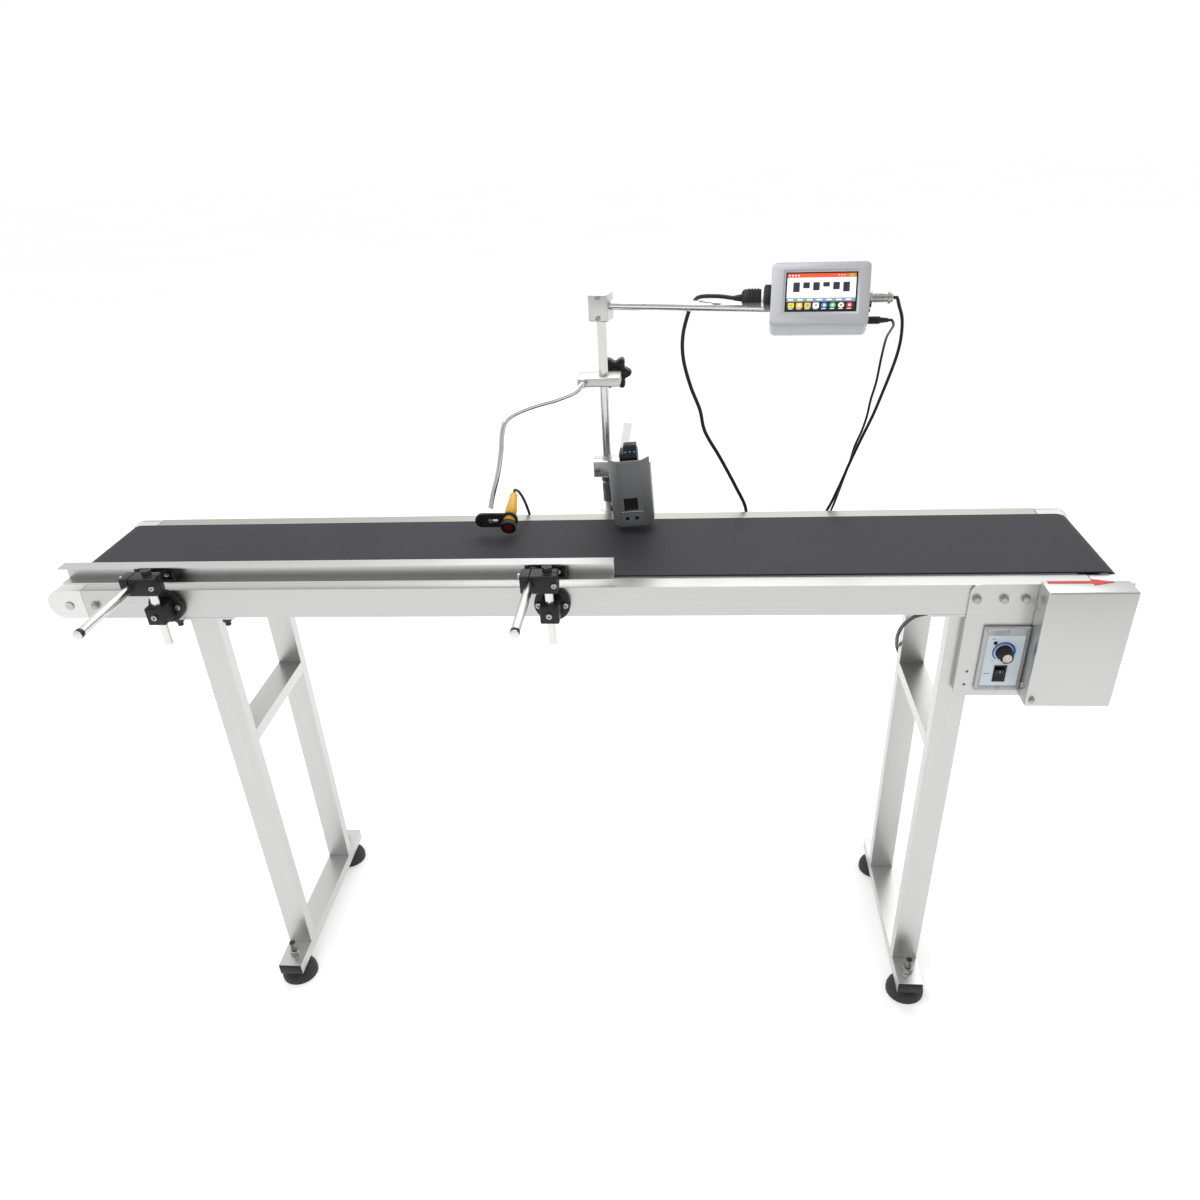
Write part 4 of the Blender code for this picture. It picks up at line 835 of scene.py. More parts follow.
# near-black for the lamp lens and the nozzle plate, which are dark parts, and for the floors of the head's blind holes,
# where it is painted shade
DEEP_BLACK_AND_HOLE_SHADE = moulded("deep_black_and_hole_shade", (0.006, 0.006, 0.007), 0.35, 300.0)
CORD = moulded("cord_sheath", (0.008, 0.008, 0.009), 0.42, 1400.0, 0.00004)
FOOT_RUBBER = moulded("foot_rubber", (0.035, 0.036, 0.040), 0.62, 500.0, 0.00012)
MOTOR_PAINT = painted("motor_paint", (0.105, 0.108, 0.115), 0.42, 0.3)
HOUSING_PAINT = painted("controller_paint", (0.50, 0.51, 0.54), 0.40, 0.35)
HEAD_PAINT = painted("head_paint", (0.19, 0.195, 0.20), 0.44, 0.25)
BEZEL = painted("bezel_grey", (0.46, 0.47, 0.48), 0.36, 0.4)
LABEL = painted("label_film", (0.66, 0.76, 0.80), 0.30, 0.0, 400.0)
SCALE_BLUE = moulded("scale_blue", (0.020, 0.130, 0.560), 0.40, 800.0)
ARROW_RED = moulded("arrow_red", (0.62, 0.030, 0.025), 0.42, 700.0)
YELLOW = moulded("sensor_yellow", (0.78, 0.42, 0.015), 0.36, 800.0, 0.00004, 0.85)
LENS_GLASS = moulded("lens_red", (0.16, 0.008, 0.008), 0.14, 200.0, 0.00001)
# the cartridge's blue contact dots glow though they are no lamp: painted glow
DOT_BLUE_PAINTED_GLOW = glowing("dot_blue_painted_glow", (0.10, 0.32, 0.85), 0.35)
KNOB_CAP = painted("knob_cap", (0.62, 0.58, 0.52), 0.30, 0.3, 600.0)
TIE = moulded("tie_black", (0.012, 0.012, 0.012), 0.30, 300.0)

SCREEN = {
    "glass": moulded("screen_border", (0.008, 0.008, 0.010), 0.12, 200.0, 0.00001),
    "bar": glowing("screen_bar", (0.82, 0.10, 0.02), 0.45, (0.70, 0.06, 0.01)),
    "paper": glowing("screen_paper", (0.86, 0.88, 0.90), 0.40, (0.78, 0.80, 0.84)),
    "strip": glowing("screen_strip", (0.24, 0.33, 0.42), 0.30),
    "dark": glowing("screen_dark", (0.012, 0.013, 0.018), 0.10),
    "green": glowing("screen_green", (0.10, 0.62, 0.08), 0.40),
    "yellow": glowing("screen_yellow", (0.86, 0.55, 0.05), 0.40),
    "blue": glowing("screen_blue", (0.05, 0.30, 0.75), 0.40),
    "red": glowing("screen_red", (0.80, 0.04, 0.03), 0.40),
    "ink": glowing("screen_ink", (0.03, 0.03, 0.05), 0.05),
}


# ------------------------------------------------------------ CAD nodes that keep their shape
def dress_frame():
    dress(BELT_LOOK, "belt")
    dress(STAINLESS_X, "side_frame_front", "slider_bed", "guide_rail")
    # the rear side frame takes the darker stainless copy: painted shade on the same steel
    dress(REAR_RAIL_PAINTED_SHADE, "side_frame_rear")
    dress(STAINLESS_X, "drive_plate")
    for end in ("tail", "drive"):
        dress(STAINLESS_Y, f"leg_brace_{end}", f"foot_bar_{end}")
        for side in ("front", "rear"):
            dress(STAINLESS_Z, f"leg_{end}_{side}")
            dress(NOSE_METAL, f"nose_{end}_{side}")
            dress(FOOT_RUBBER, f"levelling_foot_{end}_{side}")
    dress(ZINC, "drive_roller", "tail_roller", "motor_sprocket", "drive_chain")
    dress(BRIGHT_ROD, "mast_post", "mast_arm", "printhead_rod")
    for name in ("tail", "middle"):
        dress(BRIGHT_ROD, f"guide_post_{name}")


# ------------------------------------------------------------ stand
def stand_fixings():
    nut = hex_nut(0.0085, 0.008, 0.0052)
    for end, x in (("tail", -0.528), ("drive", LEG_X)):
        for side, sign in (("front", -1), ("rear", 1)):
            y = sign * 0.151 + MIDDLE
            spots = [
                (Vector((x, y, 0.0483)), (0, 0, 1)),
                (Vector((x, y, 0.0225)), (0, 0, 1)),
            ]
            scatter(
                f"foot_nuts_{end}_{side}", nut, spots, f"foot_{end}_{side}",
                FIXING, keep=True,
            )
            threads = []
            for i in range(13):
                z = 0.0575 + 0.0013 * i
                threads.append(bar("thread", (x, y, z), (x, y, z + 0.0007), 0.0053, 20))
            made = gather(f"foot_thread_{end}_{side}", threads)
            done(made, f"foot_{end}_{side}", FIXING)
            cap = block(
                f"bar_cap_{end}_{side}",
                (x - 0.0198, y + sign * (0.180 - 0.151) - 0.0012, 0.0282),
                (x + 0.0198, y + sign * (0.180 - 0.151) + 0.0012, 0.0478),
            )
            inset_push(
                cap,
                lambda centre, normal, sign=sign: normal.y * sign > 0.9,
                0.003,
                (0, sign * 0.0008, 0),
            )
            done(soften(cap, 0.0008, 2), "frame", BLACK)
    bpy.data.objects.remove(nut)


def hex_bolt(radius, height):
    """A bolt head on its washer, standing on the origin, with a domed crown."""
    head = bar("bolt_washer", (0, 0, 0), (0, 0, height * 0.22), radius * 1.25, 32)
    soften(head, height * 0.06, 2)
    body = soften(bar("bolt_head", (0, 0, height * 0.2), (0, 0, height), radius, 6), radius * 0.10, 2)
    crown = taper("crown", (0, 0, height * 0.98), (0, 0, height * 1.12), radius * 0.80, radius * 0.60)
    weld(body, crown)
    return weld(head, body)


def frame_screws():
    bolt = hex_bolt(0.0052, 0.0058)
    spots = [(at(-0.678, -FRAME_SIDE, -0.026), (0, -1, 0))]
    for x in (-0.688, -0.664):
        spots.append((at(x, FRAME_SIDE, -0.025), (0, 1, 0)))
        spots.append((at(-x, FRAME_SIDE, -0.025), (0, 1, 0)))
    for x in (0.5493, 0.5840, 0.6116):
        spots.append((at(x, -0.1343, -0.0220), (0, -1, 0)))
    scatter("frame_bolts", bolt, spots, "frame", FIXING)
    screw = socket_screw(0.0042, 0.0040)
    spots = [
        (at(x, MAST_Y + 0.0150, z), (0, 1, 0))
        for x, z in ((0.0365, -0.0130), (0.0545, -0.0340))
    ]
    scatter("mast_foot_screws", screw, spots, "frame", FIXING)
    nut = hex_nut(0.0068, 0.0065, 0)
    stud = bar("stud", (0, 0, 0.004), (0, 0, 0.0125), 0.0038, 24)
    for i in range(4):
        z = 0.0072 + 0.0013 * i
        weld(stud, bar("turn", (0, 0, z), (0, 0, z + 0.0007), 0.0041, 24))
    weld(nut, stud)
    spots = []
    for x in (-0.528, LEG_X):
        for sign in (-1, 1):
            for shift in (-0.036, 0.036):
                if x > 0 and sign < 0:
                    continue
                spots.append((at(x + shift, sign * 0.1235, -0.0503), (0, 0, -1)))
    scatter("leg_plate_nuts", nut, spots, "frame", DARK_FIXING)


# ------------------------------------------------------------ drive end
PANEL_X = 0.5957
PANEL_FRONT = -0.1400  # front of the panel's bezel
COVER_FRONT = -0.1700


def drive_panel():
    left, right = PANEL_X - 0.030, PANEL_X + 0.030
    body = block("panel_case", at(left + 0.005, -0.1348, -0.155), at(right - 0.005, -0.0766, -0.069))
    bezel = block("speed_unit", at(left, PANEL_FRONT, -0.162), at(right, -0.1347, -0.062))
    soften(bezel, 0.0016, 3)
    pick(bezel, lambda centre, normal: normal.y < -0.9 and abs(centre.z - BELT + 0.112) < 0.02)
    bpy.ops.mesh.inset(thickness=0.0034)
    bpy.ops.mesh.inset(thickness=0.0016)
    bpy.ops.transform.translate(value=(0, 0.0009, 0))
    bpy.ops.object.mode_set(mode="OBJECT")
    weld(bezel, soften(body, 0.002, 2))
    knob_hole = bar("knob_hole", at(PANEL_X, -0.15, -0.100), at(PANEL_X, -0.130, -0.100), 0.0042)
    pocket = block(
        "switch_pocket",
        at(PANEL_X - 0.0067, -0.15, -0.1451),
        at(PANEL_X + 0.0067, -0.128, -0.1229),
    )
    carve(bezel, knob_hole, pocket)
    done(bezel, "frame", BEZEL, ["speed_panel"])

    film = block(
        "panel_film",
        at(left + 0.0060, -0.13935, -0.1530),
        at(right - 0.0052, -0.13905, -0.0750),
    )
    hole = bar("film_hole", at(PANEL_X, -0.15, -0.100), at(PANEL_X, -0.130, -0.100), 0.0042)
    pocket = block(
        "film_pocket",
        at(PANEL_X - 0.0067, -0.15, -0.1451),
        at(PANEL_X + 0.0067, -0.128, -0.1229),
    )
    carve(film, hole, pocket)
    done(film, "frame", LABEL)

    marks = []
    for i in range(28):
        angle = math.radians(225 - 270 * i / 27)
        swell = 0.0016 + 0.0024 * i / 27
        centre = at(
            PANEL_X + 0.0140 * math.cos(angle), -0.1394, -0.100 + 0.0140 * math.sin(angle)
        )
        mark = block("mark", (-0.0012, -0.0001, -swell / 2), (0.0012, 0.0001, swell / 2))
        turn = Matrix.Rotation(-(angle - math.pi / 2), 4, "Y")
        marks.append(placed(mark, Matrix.Translation(centre) @ turn))
    for x, z, wide in ((-0.0155, -0.0800, 0.0050), (-0.0170, -0.1340, 0.0080), (-0.0130, -0.1140, 0.0024), (0.0125, -0.1140, 0.0030)):
        low = at(PANEL_X + x - wide / 2, -0.1395, z - 0.0004)
        marks.append(block("dash", low, low + Vector((wide, 0.0002, 0.0008))))
    done(gather("speed_scale", marks), "frame", SCALE_BLUE)

    lamp_at = at(PANEL_X - 0.0130, -0.1391, -0.0861)
    ring = bar("ring", lamp_at, lamp_at + Vector((0, -0.0012, 0)), 0.0026)
    inset_push(ring, lambda centre, normal: normal.y < -0.9, 0.0009, (0, 0.0006, 0))
    ring.name = "lamp_ring"
    done(soften(ring, 0.0003, 2), "frame", BLACK)
    lens = bar("lamp_lens", lamp_at, lamp_at + Vector((0, -0.0015, 0)), 0.0015)
    done(soften(lens, 0.0006, 3), "frame", DEEP_BLACK_AND_HOLE_SHADE)

    screw = dome_screw(0.0028, 0.0012)
    spots = [
        (at(PANEL_X - 0.0005, -0.1399, -0.0686), (0, -1, 0)),
        (at(PANEL_X + 0.0005, -0.1399, -0.1578), (0, -1, 0)),
    ]
    scatter("panel_screws", screw, spots, "frame", FIXING)

    frame_low = at(PANEL_X - 0.0085, -0.1404, -0.1469)
    frame_high = at(PANEL_X + 0.0085, -0.1390, -0.1211)
    surround = block("switch_surround", frame_low, frame_high)
    window = block(
        "surround_window",
        at(PANEL_X - 0.0067, -0.15, -0.1451),
        at(PANEL_X + 0.0067, -0.128, -0.1229),
    )
    carve(surround, window)
    done(soften(surround, 0.0005, 2), "frame", BLACK)


def speed_knob():
    base = at(PANEL_X, PANEL_FRONT, -0.100)
    out = Vector((0, -1, 0))
    knob = taper("speed_dial", base + out * 0.0003, base + out * 0.0165, 0.0106, 0.0086, 36)
    inset_push(
        knob, lambda centre, normal: normal.y < -0.9, 0.0012, (0, -0.0003, 0)
    )
    pick(
        knob,
        lambda centre, normal: abs(normal.y) < 0.3
        and int(round(math.degrees(math.atan2(normal.z, normal.x)) / 10)) % 2 == 0,
    )
    bpy.ops.mesh.inset(thickness=0.0002, use_individual=True)
    bpy.ops.mesh.extrude_faces_move(
        TRANSFORM_OT_shrink_fatten={"value": -0.00035, "use_even_offset": False}
    )
    bpy.ops.object.mode_set(mode="OBJECT")
    stub = bar("dial_stub", base + out * 0.002, base - out * 0.009, 0.003)
    weld(knob, stub)
    skirt = bar("dial_skirt", base + out * 0.0003, base + out * 0.0028, 0.0110, 36)
    weld(knob, skirt)
    done(soften(knob, 0.0003, 1, 40), "speed_knob", BLACK, ["speed_knob"])
    cap = bar("dial_cap", base + out * 0.0160, base + out * 0.0180, 0.0060, 36)
    inset_push(cap, lambda centre, normal: normal.y < -0.9, 0.0012, (0, 0.0002, 0))
    done(soften(cap, 0.0003, 2), "speed_knob", KNOB_CAP)
    line = block(
        "dial_pointer",
        base + Vector((-0.0005, -0.0170, 0.0062)),
        base + Vector((0.0005, -0.0160, 0.0084)),
    )
    placed_line = Matrix.Translation(base) @ Matrix.Rotation(math.radians(-135), 4, "Y")
    placed(line, placed_line @ Matrix.Translation(-base))
    done(soften(line, 0.0001, 1), "speed_knob", LABEL)


def rocker():
    pivot = at(PANEL_X, -0.1306 - 0.0054, -0.134)
    key = block("rocker_key", (-0.0062, -0.0058, -0.0085), (0.0062, 0.0030, 0.0085))
    pick(key, lambda centre, normal: normal.y < -0.9)
    bpy.ops.mesh.subdivide(number_cuts=7)
    bpy.ops.object.mode_set(mode="OBJECT")
    for point in key.data.vertices:
        if point.co.y < -0.005:
            point.co.y += 0.0026 * (1 - (point.co.z / 0.0085) ** 2)
        elif abs(point.co.z) > 0.008:
            point.co.z *= 0.82
    soften(key, 0.0005, 2, 40)
    dot = block("rocker_mark", (-0.0005, -0.0050, 0.0038), (0.0005, -0.0040, 0.0060))
    tilt = Matrix.Translation(pivot) @ Matrix.Rotation(math.radians(12), 4, "X")
    placed(key, tilt)
    placed(dot, tilt)
    done(key, "rocker_switch", BLACK, ["rocker_switch"])
    done(soften(dot, 0.0001, 1), "rocker_switch", LABEL)


def plate_spacer():
    packer = block("plate_spacer", at(0.5408, -0.1310, -0.166), at(0.5618, -0.1229, -0.052))
    inset_push(packer, lambda centre, normal: normal.x < -0.9, 0.002, (-0.0003, 0, 0))
    done(soften(packer, 0.0008, 2), "frame", STAINLESS_Z)


def drive_cover():
    low, high = at(0.626, COVER_FRONT, -0.168), at(0.737, -0.1346, 0.004)
    cover = block("chain_cover", low, high)
    hollow = block(
        "cover_hollow",
        low + Vector((0.0015, 0.0015, 0.0015)),
        high + Vector((-0.0015, 0.010, -0.0015)),
    )
    soften(cover, 0.0022, 3, 80)
    carve(cover, hollow)
    done(cover, "frame", STAINLESS_X, ["drive_cover"])
    screw = dome_screw(0.0036, 0.0018)
    spots = [
        (at(0.6260, -0.1450, -0.148), (-1, 0, 0)),
        (at(0.6260, -0.1450, -0.030), (-1, 0, 0)),
        (at(0.7370, -0.1450, -0.148), (1, 0, 0)),
        (at(0.7370, -0.1450, -0.030), (1, 0, 0)),
    ]
    scatter("cover_screws", screw, spots, "frame", FIXING)
    bolt = hex_bolt(0.0036, 0.0042)
    spots = [(at(0.6335, COVER_FRONT, -0.1575), (0, -1, 0))]
    scatter("cover_bolt", bolt, spots, "frame", FIXING)
    top = 0.0041
    left, near, far = 0.6325, -0.1425, -0.1362
    arrow = block("belt_arrow", at(left, near, top), at(0.688, far, top + 0.0003))
    inset_push(arrow, lambda centre, normal: normal.x > 0.9, 0, (0.0002, 0, 0), (1, 2.9, 1))
    pick(arrow, lambda centre, normal: normal.x > 0.9)
    bpy.ops.mesh.extrude_region_move(TRANSFORM_OT_translate={"value": (0.027, 0, 0)})
    bpy.ops.transform.resize(value=(1, 0.05, 1))
    bpy.ops.object.mode_set(mode="OBJECT")
    done(arrow, "frame", ARROW_RED)


def gearmotor():
    low, high = at(0.655, -0.1310, -0.155), at(0.725, -0.0980, -0.085)
    head = block("gear_case", low, high)
    soften(head, 0.004, 3)
    for shift in (0.010, 0.018):
        groove = block(
            "groove", low + Vector((-0.01, shift, -0.01)), Vector((high.x + 0.01, low.y + shift + 0.002, high.z + 0.01))
        )
        core = block(
            "core",
            low + Vector((0.0015, 0, 0.0015)),
            high + Vector((-0.0015, 0, -0.0015)),
        )
        carve(groove, core)
        carve(head, groove)
    bore = bar("case_bore", at(0.690, -0.15, -0.120), at(0.690, -0.119, -0.120), 0.0053)
    carve(head, bore)
    centre_y = -0.0985
    can = bar("motor_can", at(0.690, centre_y, -0.120), at(0.690, -0.014, -0.120), 0.0325, 48)
    weld(head, can)
    flange = bar("motor_flange", at(0.690, centre_y, -0.120), at(0.690, -0.090, -0.120), 0.0340, 48)
    weld(head, flange)
    rear = bar("motor_end", at(0.690, -0.026, -0.120), at(0.690, -0.010, -0.120), 0.0340, 48)
    soften(rear, 0.0025, 3)
    weld(head, rear)
    for i in range(18):
        angle = 2 * math.pi * i / 18
        fin = block("fin", (-0.0007, -0.028, 0.030), (0.0007, 0.028, 0.0338))
        turn = Matrix.Translation(at(0.690, -0.058, -0.120)) @ Matrix.Rotation(angle, 4, "Y")
        weld(head, placed(fin, turn))
    done(head, "frame", MOTOR_PAINT, ["gearmotor"])
    screw = socket_screw(0.0038, 0.003)
    spots = []
    for x, z in ((-1, -1), (-1, 1), (1, -1), (1, 1)):
        spots.append((at(0.690 + x * 0.028, -0.0980, -0.120 + z * 0.028), (0, 1, 0)))
    scatter("gear_screws", screw, spots, "frame", FIXING)
    wire = smooth_route(
        [
            at(0.668, -0.020, -0.128),
            at(0.655, -0.022, -0.130),
            at(0.640, -0.034, -0.128),
            at(0.630, -0.055, -0.118),
            at(0.6225, -0.070, -0.110),
            at(0.6165, -0.0755, -0.110),
            at(0.6100, -0.0755, -0.110),
        ],
        0.006,
    )
    # the motor's short wire runs inside the frame from its end cap to the speed unit
    done(tube("motor_wire", wire, 0.0022), "frame", CORD)


# ------------------------------------------------------------ side guide
def guide():
    for name, x in (("tail", -0.569), ("middle", -0.015)):
        disc = bar(
            f"guide_foot_{name}", at(x, -0.1393, -0.025), at(x, -0.1313, -0.025), 0.025, 48
        )
        soften(disc, 0.0015, 3)
        boss = block(
            "boss", at(x - 0.013, -0.171, -0.038), at(x + 0.013, -0.134, -0.012)
        )
        soften(boss, 0.002, 3)
        weld(disc, boss)
        bore = bar("bore", at(x, -0.158, -0.09), at(x, -0.158, 0.03), 0.0063)
        slit = block("slit", at(x - 0.02, -0.180, -0.0257), at(x + 0.006, -0.160, -0.0243))
        carve(disc, bore)
        done(disc, "frame", BLACK, [f"guide_base_{name}"])
        bpy.data.objects.remove(slit)
        screw = socket_screw(0.0042, 0.0036)
        spots = [
            (at(x, -0.171, -0.025), (0, -1, 0)),
            (at(x - 0.0185, -0.1393, -0.025), (0, -1, 0)),
            (at(x + 0.0185, -0.1393, -0.025), (0, -1, 0)),
        ]
        scatter(f"guide_foot_screws_{name}", screw, spots, "frame", FIXING)

        middle = x - 0.0115
        clamp = block(
            f"cross_clamp_{name}",
            at(middle - 0.025, -0.171, 0.007),
            at(middle + 0.025, -0.145, 0.033),
        )
        soften(clamp, 0.0022, 3)
        upright = bar("upright", at(x, -0.158, -0.03), at(x, -0.158, 0.06), 0.0063)
        across = bar("across", at(x - 0.023, -0.2, 0.020), at(x - 0.023, -0.12, 0.020), 0.0063)
        top_slit = block(
            "top_slit", at(x - 0.0238, -0.18, 0.024), at(x - 0.0222, -0.14, 0.04)
        )
        side_slit = block(
            "side_slit", at(x + 0.004, -0.1588, 0.0), at(x + 0.02, -0.1572, 0.04)
        )
        carve(clamp, upright, across, top_slit, side_slit)
        done(clamp, "guide_height", BLACK, [f"guide_clamp_{name}"])
        screw = socket_screw(0.0036, 0.0034)
        spots = [
            (at(middle - 0.025, -0.158, 0.0285), (-1, 0, 0)),
            (at(x + 0.0095, -0.171, 0.020), (0, -1, 0)),
        ]
        scatter(
            f"cross_clamp_screws_{name}", screw, spots, "guide_height", FIXING
        )
        cap = bar(f"post_cap_{name}", at(x, -0.158, 0.0425), at(x, -0.158, 0.0335), 0.0066)
        done(soften(cap, 0.0020, 3), "guide_height", BLACK)
        rod_x = x - 0.023
        arm = bar(f"reach_rod_{name}", at(rod_x, -0.3035, 0.020), at(rod_x, -0.128, 0.020), 0.006)
        soften(arm, 0.0006, 2)
        done(arm, "guide_reach", BRIGHT_ROD, [f"guide_arm_{name}"])
        cap = bar(
            f"arm_cap_{name}", at(rod_x, -0.3030, 0.020), at(rod_x, -0.2930, 0.020), 0.0063
        )
        done(soften(cap, 0.0022, 4), "guide_reach", BLACK)
        clip = block(
            f"rail_clip_{name}", at(x - 0.035, -0.130, 0.0098), at(x + 0.022, -0.1128, 0.0302)
        )
        inset_push(clip, lambda centre, normal: normal.y < -0.9, 0.003, (0, 0.004, 0))
        lug = bar("lug", at(rod_x, -0.136, 0.020), at(rod_x, -0.120, 0.020), 0.0095)
        weld(clip, soften(lug, 0.0012, 2))
        done(soften(clip, 0.0010, 2), "guide_reach", BLACK)
        screw = socket_screw(0.0034, 0.003)
        spots = [(at(x + 0.010, -0.1265, 0.020), (0, -1, 0))]
        scatter(f"rail_clip_screw_{name}", screw, spots, "guide_reach", FIXING)


# ------------------------------------------------------------ mast


def along_arm(distance):
    step = Matrix.Rotation(SWING, 3, "Z") @ Vector((distance, 0, 0))
    return at(MAST_X, MAST_Y, 0.309) + step


def mast_blocks():
    base = block("mast_foot", at(0.030, 0.1313, -0.041), at(0.060, 0.161, -0.006))
    soften(base, 0.0018, 3)
    bore = bar("bore", at(MAST_X, MAST_Y, -0.08), at(MAST_X, MAST_Y, 0.03), 0.0073)
    slit = block("slit", at(0.0442, 0.146, -0.06), at(0.0458, 0.175, 0.02))
    carve(base, bore, slit)
    done(base, "frame", CLAMP_METAL, ["mast_base"])

    corner = block("corner_block", (-0.0145, -0.0145, 0), (0.0145, 0.0145, 0.037))
    soften(corner, 0.0018, 3)
    placed(
        corner,
        Matrix.Translation(at(MAST_X, MAST_Y, 0.288)) @ Matrix.Rotation(SWING, 4, "Z"),
    )
    post = bar("post", at(MAST_X, MAST_Y, 0.27), at(MAST_X, MAST_Y, 0.3006), 0.0073)
    arm = bar("arm", along_arm(-0.0043), along_arm(0.05), 0.0073)
    carve(corner, post, arm)
    done(corner, "mast", CLAMP_METAL, ["mast_corner_clamp"])
    screw = socket_screw(0.0034, 0.0030)
    front = Matrix.Rotation(SWING, 3, "Z") @ Vector((0, -0.0145, 0))
    way = Matrix.Rotation(SWING, 3, "Z") @ Vector((0, -1, 0))
    spots = [
        (at(MAST_X, MAST_Y, 0.2925) + front, way),
        (at(MAST_X, MAST_Y, 0.3205) + front, way),
    ]
    scatter("corner_screws", screw, spots, "mast", FIXING)
    cap = bar(
        "mast_foot_cap", at(MAST_X, MAST_Y, -0.1303), at(MAST_X, MAST_Y, -0.121), 0.0078
    )
    inset_push(cap, lambda centre, normal: normal.z < -0.9, 0.002, (0, 0, 0.0004))
    done(soften(cap, 0.0012, 2), "mast", BLACK)


def head_clamp():
    low, high = at(0.024, 0.131, 0.057), at(0.084, 0.161, 0.083)
    clamp = block("head_cross_clamp", low, high)
    soften(clamp, 0.0020, 3)
    post = bar("post", at(MAST_X, MAST_Y, 0.03), at(MAST_X, MAST_Y, 0.11), 0.0073)
    across = bar("across", at(0.066, 0.10, 0.070), at(0.066, 0.19, 0.070), 0.0078)
    left_slit = block("left_slit", at(0.015, 0.1452, 0.04), at(0.040, 0.1468, 0.1))
    right_slit = block("right_slit", at(0.070, 0.12, 0.0692), at(0.095, 0.18, 0.0708))
    carve(clamp, post, across, left_slit, right_slit)
    done(clamp, "mast", CLAMP_METAL, ["printhead_clamp"])
    screw = socket_screw(0.0040, 0.0036)
    spots = [
        (at(0.0305, 0.131, 0.070), (0, -1, 0)),
        (at(0.0790, 0.138, 0.083), (0, 0, 1)),
        (at(0.0790, 0.154, 0.083), (0, 0, 1)),
    ]
    scatter("head_clamp_screws", screw, spots, "mast", FIXING)
    collars = []
    for low_z, high_z, radius in ((0.0470, 0.0567, 0.0100), (0.0290, 0.0440, 0.0090), (0.0140, 0.0280, 0.0086)):
        collar = bar(
            "collar", at(MAST_X, MAST_Y, low_z), at(MAST_X, MAST_Y, high_z), radius, 28
        )
        collars.append(soften(collar, 0.0010, 2))
    done(gather("mast_collars", collars), "mast", MOTOR_PAINT)


def sensor_arm():
    low, high = at(0.0066, 0.127, 0.197), at(0.070, 0.169, 0.2105)
    plate = block("sensor_arm_block", low, high)
    soften(plate, 0.0018, 3)
    post = bar("post", at(MAST_X, MAST_Y, 0.18), at(MAST_X, MAST_Y, 0.23), 0.0073)
    stud = bar("stud", at(0.060, 0.149, 0.20375), at(0.060, 0.18, 0.20375), 0.0043)
    slit = block("slit", at(0.0442, 0.149, 0.18), at(0.0458, 0.175, 0.22))
    carve(plate, post, stud, slit)
    done(plate, "sensor", CLAMP_METAL, ["sensor_clamp"])
    ferrule = bar("neck_ferrule", at(0.015, 0.1275, 0.2037), at(0.015, 0.1205, 0.2037), 0.0062)
    inset_push(ferrule, lambda centre, normal: normal.y < -0.9, 0.0012, (0, -0.001, 0))
    done(soften(ferrule, 0.0006, 2), "sensor", FIXING)

    neck_route = (
        (0.0150, 0.1265, 0.2037),
        (0.0150, 0.1200, 0.2037),
        (0.0040, 0.1140, 0.1945),
        (-0.0240, 0.1080, 0.1855),
        (-0.0520, 0.1020, 0.1800),
        (-0.0800, 0.0955, 0.1720),
        (-0.0965, 0.0890, 0.1630),
        (-0.1030, 0.0820, 0.1480),
        (-0.1066, 0.0731, 0.1201),
        (-0.1132, 0.0654, 0.0891),
        (-0.1235, 0.0577, 0.0570),
        (-0.1270, 0.0500, 0.0400),
    )
    points = smooth_route([at(*p) for p in neck_route], 0.0016)
    radii = [1.0 if i % 2 else 0.86 for i in range(len(points))]
    neck = tube("flexible_neck", points, 0.0045, radii, 6)
    done(neck, "sensor", CHROME, ["gooseneck"])

    knob = bar("star_grip", (0, 0, 0.006), (0, 0, 0.024), 0.021, 48)
    for point in knob.data.vertices:
        angle = math.atan2(point.co.y, point.co.x)
        reach = 0.0208 + 0.0040 * math.cos(6 * angle)
        flat = math.hypot(point.co.x, point.co.y)
        point.co.x *= reach / flat
        point.co.y *= reach / flat
    soften(knob, 0.0032, 4, 60)
    hub = bar("hub", (0, 0, 0.0005), (0, 0, 0.0254), 0.0095, 32)
    soften(hub, 0.0012, 2)
    weld(knob, hub)
    placed(knob, facing(at(0.060, 0.169, 0.20375), (0, 1, 0)))
    done(knob, "star_knob", BLACK, ["star_knob"])
    stud = bar("star_stud", at(0.060, 0.152, 0.20375), at(0.060, 0.172, 0.20375), 0.0039, 24)
    for i in range(9):
        ring = bar(
            "ring",
            at(0.060, 0.1525 + 0.0018 * i, 0.20375),
            at(0.060, 0.1533 + 0.0018 * i, 0.20375),
            0.0041,
            24,
        )
        weld(stud, ring)
    done(stud, "star_knob", FIXING)


